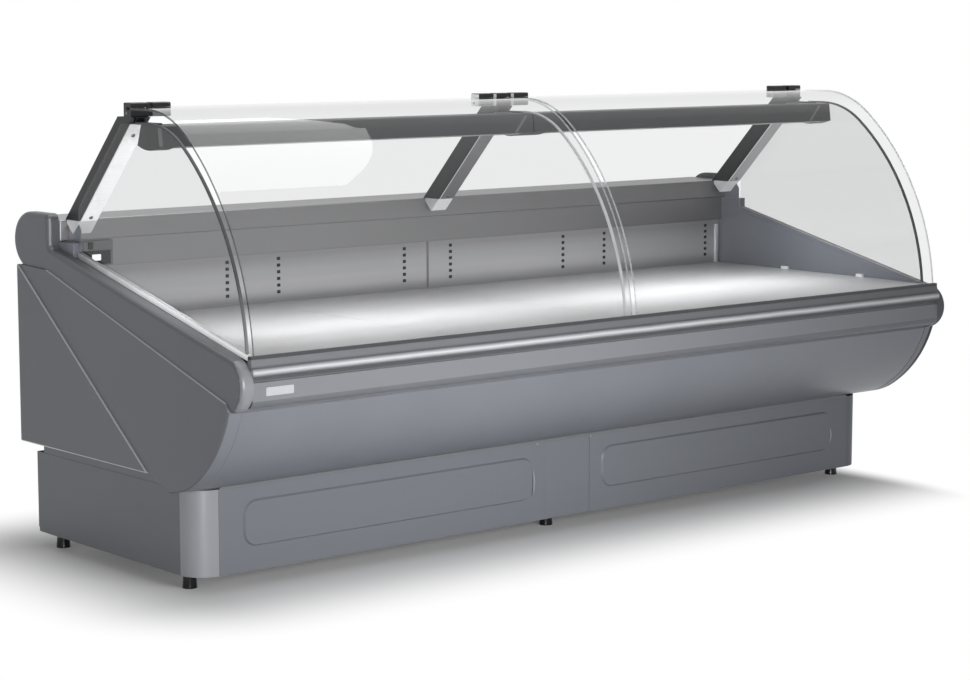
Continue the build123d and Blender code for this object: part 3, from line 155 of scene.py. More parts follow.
right_rim_shades = ((1.2815, tub_grey), (1.2835, foot_and_shadow_black))

# Painted shade along the counter on the rail's slope and the wall: X where it starts and ends, and the share
# of light that is left there
slope_fade = (-1.25, 1.25, 0.69)
wall_fade = (0.3, 1.2, 0.86)

# Unevenness of the surfaces: cells to a metre, stretches of the noise along the axes, depths and shares
cloud_scale = 4.0
patch_scale = 22.0
grain_scale = 900.0
grain_depth = 0.00003
mottle = 0.015
gloss_spread = 0.02
brush_stretch = (0.8, 45, 45)
brush_depth = 0.00002
brush_contrast = 0.012
sheet_stretch = (0.8, 30, 30)
fine_stretch = (9, 9, 9)
plate_stretch = (4, 40, 40)
screw_stretch = (60, 60, 60)
shade_wander = 0.03
bumper_scale = 5.0
haze_scale = 1.5
haze_wander = 0.01
grind_scale = 40.0
grind_stretch = (1, 6, 6)
grind_places = (0.35, 0.65)
grind_shares = (0.86, 1.06)
rib_scale = 8.0
rib_stretch = (1, 90, 1)
rib_depth = 0.0002
rib_share = 0.94

# Where the values of a noise mostly lie
noise_low = 0.3
noise_high = 0.7

# Gloss and roughness of the materials where they don't differ from piece to piece
satin_gloss = 0.35
dull_gloss = 0.2
sheet_gloss = 0.3
bumper_roughness = 0.5
edge_roughness = 0.22
milky_roughness = 0.35

# Bumper strip: heights of its lower edge, painted highlight line and upper edge, as shares
bumper_places = (0.1, 0.55, 0.95)

# Glass: mirror sheen of the panes and how it grows edge on, where the tint deepens, how solid edges look.
# The right pane mirrors less than the left, so what lies behind it shows darker: painted shade
glass_sheen = 0.026
right_sheen = 0.01
sheen_power = 5.0
tint_places = (0.6, 0.97)
edge_show = 0.75
rim_show = 0.8

# Floor and light
floor_size = 60.0
floor_shade = 0.74
shade_half = 1.2            # half length, front, back and reach of the shaded floor round the base
shade_front = -0.25
shade_back = 0.5
shade_reach = 0.5
shade_right = 3.4           # how much faster the shade ends on the right
shade_least = 0.08          # share of white in the middle of the shade
ambient_light = 0.18


def screen(colour):
    """Linear RGBA of a colour given as it looks on the screen."""
    parts = [value / 255 for value in colour]
    linear = [p / 12.92 if p <= 0.04045 else ((p + 0.055) / 1.055) ** 2.4 for p in parts]
    return (*linear, 1.0)


def dimmed(colour, factor):
    """A screen colour made lighter or darker."""
    return tuple(min(255, value * factor) for value in colour)


# Node helpers

def start_material(name):
    """Empty node material with its tree and output node."""
    material = bpy.data.materials.new(name)
    material.use_nodes = True
    tree = material.node_tree
    tree.nodes.clear()
    output = tree.nodes.new("ShaderNodeOutputMaterial")
    return material, tree, output


def start_surface(name):
    """Material with one surface shader, its tree and the shader's inputs."""
    material, tree, output = start_material(name)
    shader = tree.nodes.new("ShaderNodeBsdfPrincipled")
    tree.links.new(shader.outputs["BSDF"], output.inputs["Surface"])
    return material, tree, shader.inputs


def feed(tree, socket, value):
    """Give an input a value, which is another socket or a number."""
    if isinstance(value, (int, float)):
        socket.default_value = value
    else:
        tree.links.new(value, socket)


def add_axes(tree):
    """X, Y and Z of a place on the piece, in metres."""
    place = tree.nodes.new("ShaderNodeTexCoord")
    split = tree.nodes.new("ShaderNodeSeparateXYZ")
    tree.links.new(place.outputs["Object"], split.inputs["Vector"])
    return split.outputs


def add_noise(tree, scale, stretch=(1, 1, 1), detail=3.0):
    """Noise value from 0 to 1, with cells of about 1/scale metres, stretched along the axes."""
    place = tree.nodes.new("ShaderNodeTexCoord")
    mapping = tree.nodes.new("ShaderNodeMapping")
    mapping.inputs["Scale"].default_value = stretch
    noise = tree.nodes.new("ShaderNodeTexNoise")
    noise.inputs["Scale"].default_value = scale
    noise.inputs["Detail"].default_value = detail
    tree.links.new(place.outputs["Object"], mapping.inputs["Vector"])
    tree.links.new(mapping.outputs["Vector"], noise.inputs["Vector"])
    return noise.outputs["Fac"]


def add_streaks(tree, stretch):
    """Noise of long streaks, shaped by its stretch alone."""
    return add_noise(tree, 1.0, stretch, detail=2.0)


def add_ramp(tree, value, stops):
    """Colour ramp over a value; stops are (place, RGBA)."""
    ramp = tree.nodes.new("ShaderNodeValToRGB")
    elements = ramp.color_ramp.elements
    while len(elements) < len(stops):
        elements.new(0.5)
    for element, (place, colour) in zip(elements, stops):
        element.position = place
        element.color = colour
    tree.links.new(value, ramp.inputs["Fac"])
    return ramp.outputs["Color"]


def add_tints(tree, noise, colour, darker, lighter):
    """A colour that a noise varies between two shares of its light."""
    stops = ((noise_low, screen(dimmed(colour, darker))), (noise_high, screen(dimmed(colour, lighter))))
    return add_ramp(tree, noise, stops)


def add_range(tree, value, low, high, start=noise_low, end=noise_high, shape="LINEAR"):
    """A value moved to a new range."""
    span = tree.nodes.new("ShaderNodeMapRange")
    span.interpolation_type = shape
    span.inputs["From Min"].default_value = start
    span.inputs["From Max"].default_value = end
    span.inputs["To Min"].default_value = low
    span.inputs["To Max"].default_value = high
    tree.links.new(value, span.inputs["Value"])
    return span.outputs["Result"]


def add_math(tree, operation, *values):
    """Result of a sum on one to three values, each a socket or a number."""
    step = tree.nodes.new("ShaderNodeMath")
    step.operation = operation
    for socket, value in zip(step.inputs, values):
        feed(tree, socket, value)
    return step.outputs["Value"]


def add_bump(tree, value, distance):
    """Bump from a value, with its full depth in metres."""
    bump = tree.nodes.new("ShaderNodeBump")
    bump.inputs["Distance"].default_value = distance
    tree.links.new(value, bump.inputs["Height"])
    return bump.outputs["Normal"]


def mix_shaders(tree, share, first, second, output):
    """Send a mix of two shaders to an output, with a share of the second one."""
    mix = tree.nodes.new("ShaderNodeMixShader")
    feed(tree, mix.inputs["Fac"], share)
    tree.links.new(first, mix.inputs[1])
    tree.links.new(second, mix.inputs[2])
    tree.links.new(mix.outputs["Shader"], output.inputs["Surface"])


def vary_roughness(tree, inputs, noise, roughness):
    """Let a noise vary the roughness a little either way."""
    spread = add_range(tree, noise, roughness - gloss_spread, roughness + gloss_spread)
    tree.links.new(spread, inputs["Roughness"])


# Materials

def satin(name, colour, roughness, grain=grain_scale, depth=grain_depth, gloss=satin_gloss):
    """Satin paint or moulded plastic: faint mottling, fine grain and uneven gloss."""
    material, tree, inputs = start_surface(name)
    cloud = add_noise(tree, cloud_scale)
    tree.links.new(add_tints(tree, cloud, colour, 1 - mottle, 1 + mottle), inputs["Base Color"])
    vary_roughness(tree, inputs, add_noise(tree, patch_scale), roughness)
    tree.links.new(add_bump(tree, add_noise(tree, grain), depth), inputs["Normal"])
    inputs["Specular IOR Level"].default_value = gloss
    return material


def brushed(name, colour, roughness, metallic, stretch=brush_stretch):
    """Brushed metal: faint streaks along one axis in colour, gloss and relief."""
    material, tree, inputs = start_surface(name)
    inputs["Metallic"].default_value = metallic
    streaks = add_streaks(tree, stretch)
    tints = add_tints(tree, streaks, colour, 1 - brush_contrast, 1 + brush_contrast)
    tree.links.new(tints, inputs["Base Color"])
    vary_roughness(tree, inputs, streaks, roughness)
    tree.links.new(add_bump(tree, streaks, brush_depth), inputs["Normal"])
    return material


def graded(name, axis, shades, roughness, metallic=0.0, fade=None, glow=0.0):
    """Paint or sheet metal with painted light and shade that blend along an axis, and faint streaks.

    A fade (start X, end X, share) paints shade that darkens it along X to a share of its light, and a glow
    lights it faintly as painted light.
    """
    material, tree, inputs = start_surface(name)
    inputs["Metallic"].default_value = metallic
    axes = add_axes(tree)
    streaks = add_streaks(tree, sheet_stretch)
    start, end = shades[0][0], shades[-1][0]
    along = add_range(tree, axes[axis], 0.0, 1.0, start, end)
    wander = add_range(tree, streaks, -shade_wander, shade_wander)
    stops = [((place - start) / (end - start), screen(colour)) for place, colour in shades]
    tint = add_ramp(tree, add_math(tree, "ADD", along, wander), stops)
    if fade is not None:
        fade_start, fade_end, share = fade
        scaled = tree.nodes.new("ShaderNodeVectorMath")
        scaled.operation = "SCALE"
        tree.links.new(tint, scaled.inputs[0])
        tree.links.new(add_range(tree, axes["X"], 1.0, share, fade_start, fade_end), scaled.inputs["Scale"])
        tint = scaled.outputs["Vector"]
    tree.links.new(tint, inputs["Base Color"])
    tree.links.new(tint, inputs["Emission Color"])
    inputs["Emission Strength"].default_value = glow
    vary_roughness(tree, inputs, streaks, roughness)
    inputs["Specular IOR Level"].default_value = sheet_gloss
    return material


def bumper(name, edge, middle, low, high):
    """Moulded bumper with a painted highlight: a soft light line along its middle height."""
    material, tree, inputs = start_surface(name)
    height = add_range(tree, add_axes(tree)["Z"], 0.0, 1.0, low, high)
    wander = add_range(tree, add_noise(tree, bumper_scale), -shade_wander, shade_wander)
    stops = list(zip(bumper_places, (screen(edge), screen(middle), screen(edge))))
    tree.links.new(add_ramp(tree, add_math(tree, "ADD", height, wander), stops), inputs["Base Color"])
    inputs["Roughness"].default_value = bumper_roughness
    inputs["Specular IOR Level"].default_value = dull_gloss
    return material


def clear_glass(name, tint, sheen=glass_sheen):
    """Pane glass: a tint that deepens edge on, with a mirror sheen on the side that faces out."""
    material, tree, output = start_material(name)
    through = tree.nodes.new("ShaderNodeBsdfTransparent")
    weight = tree.nodes.new("ShaderNodeLayerWeight")
    weight.inputs["Blend"].default_value = 0.5
    facing = weight.outputs["Facing"]
    haze = add_range(tree, add_noise(tree, haze_scale), -haze_wander, haze_wander)
    stops = list(zip(tint_places, ((*tint, 1), (*edge_tint, 1))))
    tree.links.new(add_ramp(tree, add_math(tree, "ADD", facing, haze), stops), through.inputs["Color"])
    mirror = tree.nodes.new("ShaderNodeBsdfPrincipled")
    mirror.inputs["Base Color"].default_value = (1, 1, 1, 1)
    mirror.inputs["Metallic"].default_value = 1.0
    mirror.inputs["Roughness"].default_value = 0.0
    side = tree.nodes.new("ShaderNodeNewGeometry")
    steep = add_math(tree, "POWER", facing, sheen_power)
    gloss = add_math(tree, "MULTIPLY_ADD", steep, 1 - sheen, sheen)
    outside = add_math(tree, "SUBTRACT", 1.0, side.outputs["Backfacing"])
    share = add_math(tree, "MULTIPLY", gloss, outside)
    mix_shaders(tree, share, through.outputs["BSDF"], mirror.outputs["BSDF"], output)
    return material


def glass_edge(name, colour, show=edge_show):
    """Ground edge of a pane: partly see-through, with a fine grind."""
    material, tree, output = start_material(name)
    ground = tree.nodes.new("ShaderNodeBsdfPrincipled")
    grind = add_noise(tree, grind_scale, grind_stretch)
    stops = [(place, screen(dimmed(colour, share))) for place, share in zip(grind_places, grind_shares)]
    tree.links.new(add_ramp(tree, grind, stops), ground.inputs["Base Color"])
    ground.inputs["Roughness"].default_value = edge_roughness
    through = tree.nodes.new("ShaderNodeBsdfTransparent")
    mix_shaders(tree, show, through.outputs["BSDF"], ground.outputs["BSDF"], output)
    return material


def milky(name, colour, glow):
    """Surface that glows a little, with fine ribs: a lamp lens or lit window, and elsewhere painted light on
    creases, edges, fittings and the neck.
    """
    material, tree, inputs = start_surface(name)
    ribs = add_noise(tree, rib_scale, rib_stretch)
    tint = add_tints(tree, ribs, colour, rib_share, 1.0)
    tree.links.new(tint, inputs["Base Color"])
    tree.links.new(tint, inputs["Emission Color"])
    inputs["Emission Strength"].default_value = glow
    inputs["Roughness"].default_value = milky_roughness
    tree.links.new(add_bump(tree, ribs, rib_depth), inputs["Normal"])
    return material


finishes = {
    "end": satin("end_plastic", end_grey, 0.36, grain=700.0, depth=0.00004),
    "crease": milky("crease_highlight", crease_highlight_grey, glow=0.55),
    "neck": milky("neck_glowing_painted_light", neck_glow_grey, glow=0.6),
    "nose": satin("nose_moulding_painted_light", nose_lit_grey, 0.34),
    "shaded_nose": satin("nose_moulding_painted_shade", nose_shaded_grey, 0.5, gloss=dull_gloss),
    "skin": graded("base_paint", "X", base_shades, 0.38),
    "trim": satin("corner_trim_painted_light", trim_lit_grey, 0.3, gloss=0.4),
    "shaded_trim": satin("corner_trim_painted_shade", trim_shaded_grey, 0.5, gloss=dull_gloss),
    "tub": satin("tub_paint", tub_grey, 0.36),
    "liner": satin("liner_paint", liner_grey, 0.3),
    "rail": graded("rail_paint", "X", rail_shades, 0.34),
    "rail_top": graded("rail_top_paint", "Z", slope_shades, 0.4, fade=slope_fade),
    "rail_low": satin("rail_roll_painted_shade", rail_low_shaded_grey, 0.45, gloss=dull_gloss),
    "groove": graded("rail_groove_painted_shade", "Z", groove_shades, 0.5),
    "strip": bumper("bumper_painted_highlight", bumper_grey, bumper_highlight_grey, bumper_foot, bumper_top),
    "graphite": graded("graphite_paint", "X", canopy_shades, 0.4),
    "post": graded("post_paint", "X", post_shades, 0.4),
    "cap": satin("hinge_black", rubber_black, 0.3),
    "pad": satin("hinge_grey", pad_grey, 0.35),
    "deck": brushed("deck_steel", deck_silver, 0.36, metallic=0.35),
    "wall": graded("wall_steel", "Z", wall_shades, 0.4, metallic=0.5, fade=wall_fade),
    "band": graded("band_steel", "X", band_shades, 0.36, metallic=0.5),
    "worktop": graded("worktop_steel", "X", worktop_shades, 0.36, metallic=0.5),
    "aluminium": brushed("satin_aluminium", aluminium, 0.34, metallic=0.55, stretch=fine_stretch),
    "strip_metal": brushed("strip_aluminium", strip_metal_grey, 0.36, metallic=0.5, stretch=fine_stretch),
    "strip_bright": milky("strip_painted_light", white_plastic, glow=0.6),
    "channel": graded("channel_painted_highlight", "Y", channel_highlight_shades, 0.4, glow=0.45),
    "seam": satin("seam_and_highlight_grey", seam_and_highlight_grey, 0.5),
    "bright": milky("bright_painted_highlight", white_plastic, glow=0.35),
    "strip_dim": brushed("strip_painted_shade", strip_shaded_grey, 0.36, metallic=0.5, stretch=fine_stretch),
    "plate": brushed("badge_aluminium", plate_silver, 0.45, metallic=0.0, stretch=plate_stretch),
    "right_rim": graded("right_rim_edge_painted_shade", "X", right_rim_shades, 0.4),
    "screw": brushed("screw_steel", zinc, 0.3, metallic=0.9, stretch=screw_stretch),
    "zinc": satin("frame_grey", zinc, 0.45),
    "iron": satin("black_enamel", iron_black, 0.32),
    "fan": satin("fan_plastic", fan_black, 0.5),
    "rubber": satin("black_rubber", rubber_black, 0.62, grain=400.0, depth=0.00008),
    "seal": satin("grey_seal", seal_grey, 0.5),
    "foot": satin("foot_plastic", foot_and_shadow_black, 0.14),
    "shadow": satin("painted_shadow_black", foot_and_shadow_black, 0.8),
    "white": satin("white_plastic", white_plastic, 0.35),
    "box": satin("control_plastic", box_grey, 0.4),
    "display": satin("bezel_plastic", display_black, 0.28),
    "lens": milky("lamp_lens", lens_white, glow=0.05),
    "window": milky("lit_window", white_plastic, glow=1.0),
    "front_glass": clear_glass("front_glass_clear", left_tint),
    "right_glass": clear_glass("right_glass_clear", right_tint, sheen=right_sheen),
    "end_glass": clear_glass("end_glass_clear", end_tint),
    "edge": glass_edge("glass_ground_edge", edge_grey),
    "rim": glass_edge("glass_dark_edge", rim_grey, show=rim_show),
    "left_seal": graded("left_seal", "Z", left_seal_shades, 0.5),
}

node_finish = {
    "levelling_feet": "foot", "base_frame": "zinc", "base_tray": "zinc",
    "base_sides": "end", "base_corner_trims": "trim", "base_front_panels": "skin",
    "base_centre_cover": "skin", "base_rear_grilles": "skin",
    "compressor": "iron", "condenser_coil": "aluminium", "condenser_shroud": "zinc",
    "condenser_motor": "iron", "condenser_fan": "fan", "electrical_box": "white",
    "cable_gland": "rubber", "evaporation_tray": "white", "drain_pipe": "white",
    "tub_front_wall": "tub", "tub_floor": "tub", "tub_rear_wall": "tub", "rear_panels": "tub",
    "front_rail": "rail", "bumper_strip": "strip", "glass_rest_seal": "seal",
    "deck_supports": "zinc", "deck_pans": "deck", "deck_clips": "white",
    "back_walls": "wall", "air_outlet_band": "band", "back_wall_trims": "aluminium",
    "worktop": "worktop", "control_box": "box", "display_unit": "display", "switch_rocker": "rubber",
    "evaporator_coil": "aluminium", "fan_plate": "zinc", "evaporator_motors": "iron",
    "evaporator_fan_left": "fan", "evaporator_fan_right": "fan",
    "end_panel_left": "end", "end_panel_right": "end", "end_liners": "liner",
    "end_glass_channels": "white", "end_glass": "end_glass", "end_glass_seals": "seal",
    "centre_rib": "aluminium", "posts": "post", "post_strips": "strip_metal", "post_feet": "white",
    "canopies": "graphite", "canopy_end_caps": "graphite", "lamp_lenses": "lens",
    "canopy_brackets": "post", "hinge_brackets": "post", "hinge_pins": "screw",
    "front_glass_left": "front_glass", "front_glass_right": "right_glass",
    "glass_clamps_left": "pad", "glass_clamps_right": "pad",
}
for name, finish in node_finish.items():
    slots = nodes[name].data.materials
    slots.clear()
    slots.append(finishes[finish])


# Second finishes on chosen faces

def finish_faces(name, finish, chosen):
    """Give a second finish to the faces of a node that a test on centre and normal chooses."""
    piece = nodes[name]
    piece.data.materials.append(finishes[finish])
    turn = piece.matrix_world.to_3x3()
    for face in piece.data.polygons:
        if chosen(piece.matrix_world @ face.center, turn @ face.normal):
            face.material_index = len(piece.data.materials) - 1


# Turns by which faces are chosen: square to an axis, more than half toward it, or only a little
square_on = 0.9
half_on = 0.5
little_on = 0.3
slope_turn = 0.05           # how far the rail's slope looks up at least
touch = 0.001               # how near an edge a face's centre is to lie on it
middle_reach = 0.6          # X that parts what is at the middle post from what is at the ends

# Creases of the end panels, as places (Y, Z)
crease_width = 0.002
band_crease = ((0.3625, 0.774), (-0.4715, 0.518))
rear_crease = ((-0.1245, 0.3), (0.503, 0.779))

# Parts of an end panel: its flat fields, the belly under the nose, the foot behind it and the nose
field_turn = 0.95
belly_top = 0.5
belly_rear = -0.12
foot_rim_top = 0.304
nose_rear = -0.45
nose_turn = 0.35


def near_line(y, z, line):
    """Whether a place lies on the straight line between two places."""
    (y1, z1), (y2, z2) = line
    length = ((y2 - y1) ** 2 + (z2 - z1) ** 2) ** 0.5
    along = ((y - y1) * (y2 - y1) + (z - z1) * (z2 - z1)) / length
    aside = ((y - y1) * (z2 - z1) - (z - z1) * (y2 - y1)) / length
    return abs(aside) < crease_width and 0 < along < length


def on_crease(centre, normal):
    """Step faces between the fields of an end panel, and the rim along its foot, which take a painted
    highlight.
    """
    if abs(normal.x) > field_turn:
        return False
    if near_line(centre.y, centre.z, band_crease) or near_line(centre.y, centre.z, rear_crease):
        return True
    return normal.z < -little_on and centre.z < foot_rim_top and centre.y > belly_rear


def at_belly(centre):
    """Whether a place on an end panel lies by the belly of the tub."""
    return centre.z < belly_top and centre.y < belly_rear


def on_belly_rim(centre, normal):
    """Rim of an end panel along the belly."""
    return at_belly(centre) and abs(normal.x) < little_on and not on_crease(centre, normal)


def on_belly_chamfer(centre, normal):
    """Chamfer of the right end panel along the belly, painted black as shade."""
    return at_belly(centre) and little_on < normal.x < field_turn


def on_nose(centre, normal):
    """Round nose of an end panel."""
    return normal.y < -nose_turn and centre.z > belly_top and centre.y < nose_rear


# Creases and the rim along the foot of each end panel glow light grey: a painted highlight
for name, rim in (("end_panel_left", "tub"), ("end_panel_right", "right_rim")):
    finish_faces(name, "crease", on_crease)
    finish_faces(name, rim, on_belly_rim)
# The right panel's belly rim blackens toward its outer edge and its chamfer is black: painted shade where it
# turns from the light
finish_faces("end_panel_right", "shadow", on_belly_chamfer)
# The noses take the lit and shaded copies of the end plastic: painted light on the left, painted shade on
# the right
finish_faces("end_panel_left", "nose", on_nose)
finish_faces("end_panel_right", "shaded_nose", on_nose)
# The right corner trims take the shaded copy of the trim paint: painted shade
finish_faces("base_corner_trims", "shaded_trim", lambda centre, normal: centre.x > 0)

# Black caps of the clamps and hinges, their left sides by the middle post glowing white as a painted
# highlight, and edges of the glass
pane_low, pane_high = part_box("front_glass_left")
cap_seam = pane_high.z - 0.0005
for name in ("glass_clamps_left", "glass_clamps_right", "hinge_brackets"):
    finish_faces(name, "cap", lambda centre, normal: centre.z > cap_seam)
    finish_faces(name, "bright", lambda centre, normal: (
        normal.x < -square_on and abs(centre.x) < middle_reach
    ))


def on_pane_edge(centre, normal):
    """Ends, rear edge and foot of a front pane."""
    at_foot = normal.z < -square_on and centre.z < pane_low.z + 2 * touch
    return abs(normal.x) > square_on or centre.y > pane_high.y - touch or at_foot


for name in ("front_glass_left", "front_glass_right"):
    finish_faces(name, "edge", on_pane_edge)
finish_faces("front_glass_left", "rim", lambda centre, normal: (
    normal.x < -square_on and centre.x < -middle_reach
))
finish_faces("end_glass", "edge", lambda centre, normal: abs(normal.x) < half_on and normal.y < little_on)
finish_faces("end_glass_seals", "left_seal", lambda centre, normal: centre.x < 0)
# The left channel's outer faces glow white, fading to grey toward the rear: a painted highlight
finish_faces("end_glass_channels", "channel", lambda centre, normal: centre.x < 0 and normal.x < -half_on)
finish_faces("end_glass_channels", "liner", lambda centre, normal: centre.x > 0 and normal.x < -square_on)

# Post strips: a glowing lit copy on the left posts as painted light, a shaded copy at the middle post as
# painted shade, and glowing left faces as a painted highlight. Slope, roll and groove of the rail: painted
# darker as shade where they turn from the light or lie under the bumper. The tub's wall behind the holes:
# painted black as shadow
finish_faces("post_strips", "strip_bright", lambda centre, normal: centre.x < -middle_reach)
finish_faces("post_strips", "strip_dim", lambda centre, normal: abs(centre.x) < middle_reach)
finish_faces("post_strips", "bright", lambda centre, normal: normal.x < -square_on)
finish_faces("front_rail", "rail_top", lambda centre, normal: (
    centre.z > bumper_top - touch and normal.z > slope_turn
))
finish_faces("front_rail", "rail_low", lambda centre, normal: centre.z < roll_top and normal.y < half_on)
finish_faces("front_rail", "groove", lambda centre, normal: (
    groove_low < centre.z < bumper_foot + touch and normal.y < half_on
))
finish_faces("tub_rear_wall", "shadow", lambda centre, normal: normal.y < -square_on)


# Small radii on the hard edges: their widths, and the nodes that have them
weld_distance = 0.00002
flat_angle = radians(0.5)
hard_angle = radians(30)
edge_segments = 2
soft_edges = {
    0.001: (
        "base_sides", "base_centre_cover", "front_rail", "posts", "post_strips", "canopy_brackets",
        "control_box", "display_unit", "end_liners", "end_glass_channels", "deck_clips",
        "end_panel_left", "end_panel_right",
    ),
    0.0025: ("tub_front_wall", "worktop"),
}


def soften(name, width):
    """Round the hard edges of a node by a small width."""
    piece = nodes[name]
    weld = piece.modifiers.new("weld", "WELD")
    weld.merge_threshold = weld_distance
    flat = piece.modifiers.new("flat", "DECIMATE")
    flat.decimate_type = "DISSOLVE"
    flat.angle_limit = flat_angle
    flat.delimit = {"MATERIAL"}
    bevel = piece.modifiers.new("bevel", "BEVEL")
    bevel.width = width
    bevel.segments = edge_segments
    bevel.limit_method = "ANGLE"
    bevel.angle_limit = hard_angle
    piece.modifiers.new("normals", "WEIGHTED_NORMAL")


for width, names in soft_edges.items():
    for name in names:
        soften(name, width)


# Helpers for the small pieces made here

def new_piece(name, builder, finish, body):
    """Object from a mesh builder, with its finish, riding a body."""
    grid = bmesh.new()
    builder(grid)
    bmesh.ops.recalc_face_normals(grid, faces=grid.faces)
    mesh = bpy.data.meshes.new(name)
    grid.to_mesh(mesh)
    grid.free()
    mesh.materials.append(finishes[finish])
    piece = bpy.data.objects.new(name, mesh)
    bpy.context.scene.collection.objects.link(piece)
    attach(piece, body)


def join_rings(grid, rings):
    """Faces between each ring of corners and the next one."""
    for lower, upper in zip(rings, rings[1:]):
        for index, corner in enumerate(lower):
            after = (index + 1) % len(lower)
            grid.faces.new((corner, lower[after], upper[after], upper[index]))


def close_rings(grid, rings):
    """Closed body from rings of corners, with a face on the first and on the last."""
    join_rings(grid, rings)
    grid.faces.new(rings[0])
    grid.faces.new(rings[-1])


def raised_plate(grid, outline, normal, rise, slope):
    """Plate on an outline of points: its rim rises along the normal and slopes in to a flat top."""
    middle = sum(outline, Vector()) / len(outline)
    rings = []
    for lift, draw in ((0, 0), (rise / 2, 0), (rise, slope)):
        ring = []
        for point in outline:
            toward = (middle - point).normalized()
            ring.append(grid.verts.new(point + toward * draw + normal * lift))
        rings.append(ring)
    close_rings(grid, rings)


def rounded_outline(centre, across, up, size, corner, steps=5):
    """Points of a rectangle with round corners, in the plane of two directions."""
    width, height = size
    points = []
    for turn, (sx, sy) in enumerate(((1, 1), (-1, 1), (-1, -1), (1, -1))):
        for step in range(steps + 1):
            angle = pi / 2 * (turn + step / steps)
            x = sx * (width / 2 - corner) + corner * cos(angle)
            y = sy * (height / 2 - corner) + corner * sin(angle)
            points.append(centre + across * x + up * y)
    return points


def front_plate(grid, centre, size, corner, rise, slope, steps=5):
    """Plate with round corners on a face that looks to the front."""
    outline = rounded_outline(centre, x_axis, z_axis, size, corner, steps)
    raised_plate(grid, outline, -y_axis, rise, slope)


def largest_front(name, turn):
    """Largest face of a node among those that look to the front by more than a share."""
    faces = [face for face in nodes[name].data.polygons if face.normal.y < -turn]
    return max(faces, key=lambda face: face.area)


def place_on(face, x, z):
    """Place on the plane of a face that looks to the front."""
    return Vector((x, face.center.y - (z - face.center.z) * face.normal.z / face.normal.y, z))


# Rings of a screw head's dome and of its hexagon socket: reach and lift as shares of its radius
dome_rings = ((1.0, 0.0), (1.0, 0.18), (0.86, 0.42), (0.6, 0.56))
dome_corners = 24
socket_rings = ((0.5, 0.58), (0.45, 0.2))
socket_corners = 6
merge_distance = 0.00001


def button_screw(grid, place, normal, radius):
    """Domed screw head with a hexagon socket, standing on a face."""
    across = normal.orthogonal().normalized()
    up = normal.cross(across)
    rings = []
    for shares, corners in ((dome_rings, dome_corners), (socket_rings, socket_corners)):
        stride = dome_corners // corners
        for reach, lift in shares:
            ring = []
            for index in range(dome_corners):
                angle = 2 * pi * (index // stride * stride) / dome_corners
                aside = (across * cos(angle) + up * sin(angle)) * radius * reach
                ring.append(grid.verts.new(place + aside + normal * radius * lift))
            rings.append(ring)
    close_rings(grid, rings)
    bmesh.ops.remove_doubles(grid, verts=grid.verts, dist=merge_distance)


# Blank badge plate near the left end of the rail
badge_x = -1.1805
badge_z = 0.547
badge_size = (0.082, 0.021)
badge_corner = 0.003
badge_rise = 0.0016
badge_slope = 0.0008
rail_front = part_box("front_rail")[0].y


def badge(grid):
    """Blank plate with round corners on the face of the rail."""
    centre = Vector((badge_x, rail_front, badge_z))
    front_plate(grid, centre, badge_size, badge_corner, badge_rise, badge_slope)


new_piece("badge_plate", badge, "plate", "cabinet")

# Screws on the post strips, two to a post
strip_low, strip_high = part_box("post_strips")
strip_face = largest_front("post_strips", little_on)
strip_half = 0.025
strip_places = (strip_low.x + strip_half, 0, strip_high.x - strip_half)
strip_screw_shares = (0.115, 0.965)
strip_screw_radius = 0.0055


def strip_screws(grid):
    """Button screws near both ends of each post strip."""
    for x in strip_places:
        for share in strip_screw_shares:
            z = strip_high.z + (strip_low.z - strip_high.z) * share
            button_screw(grid, place_on(strip_face, x, z), strip_face.normal, strip_screw_radius)


new_piece("strip_screws", strip_screws, "screw", "cabinet")

# Lit window and three keys on the display
unit_low, unit_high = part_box("display_unit")
unit_middle = (unit_low + unit_high) / 2
unit_corner = 0.002
window_size = (0.027, 0.0165)
window_depth = 0.0015
window_slope = 0.0006
key_size = (0.0128, 0.008)
key_margin = 0.013
key_spread = 0.0115
key_rise = 0.001
key_slope = 0.0008


def display_window(grid):
    """Lit window in the recess of the bezel."""
    centre = Vector((unit_middle.x, unit_low.y + window_depth, unit_middle.z))
    front_plate(grid, centre, window_size, unit_corner, window_depth, window_slope)


def display_keys(grid):
    """Three keys beside the window."""
    for index in (-1, 0, 1):
        centre = Vector((unit_high.x - key_margin, unit_low.y, unit_middle.z + index * key_spread))
        front_plate(grid, centre, key_size, unit_corner, key_rise, key_slope)


new_piece("display_window", display_window, "window", "cabinet")
new_piece("display_keys", display_keys, "cap", "cabinet")

# Light seams on the fronts of the canopies, slanting at their right ends, and the edge of the left cap. The
# slanting ones mark joints and are painted lighter as a highlight; the one at the left cap is a painted
# highlight on its front edge
canopy_low, canopy_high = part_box("canopies")
canopy_face = largest_front("canopies", half_on)
left_seam_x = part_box("canopy_end_caps")[0].x + 0.002
seam_ends = ((-0.0245, -0.0672), (1.1885, 1.1415), (left_seam_x, left_seam_x))     # X at their top and foot
seam_top = canopy_high.z - 0.006
seam_foot = canopy_low.z + 0.002
seam_width = 0.011
seam_rise = 0.0006


def canopy_seam_highlights(grid):
    """Thin light strips across the canopy fronts, from their upper edge to their lower one: painted
    highlight.
    """
    side = x_axis * seam_width / 2
    for top_x, foot_x in seam_ends:
        top = place_on(canopy_face, top_x, seam_top)
        foot = place_on(canopy_face, foot_x, seam_foot)
        outline = [top - side, top + side, foot + side, foot - side]
        raised_plate(grid, outline, canopy_face.normal, seam_rise, seam_width / 4)


new_piece("canopy_seam_highlights", canopy_seam_highlights, "seam", "cabinet")

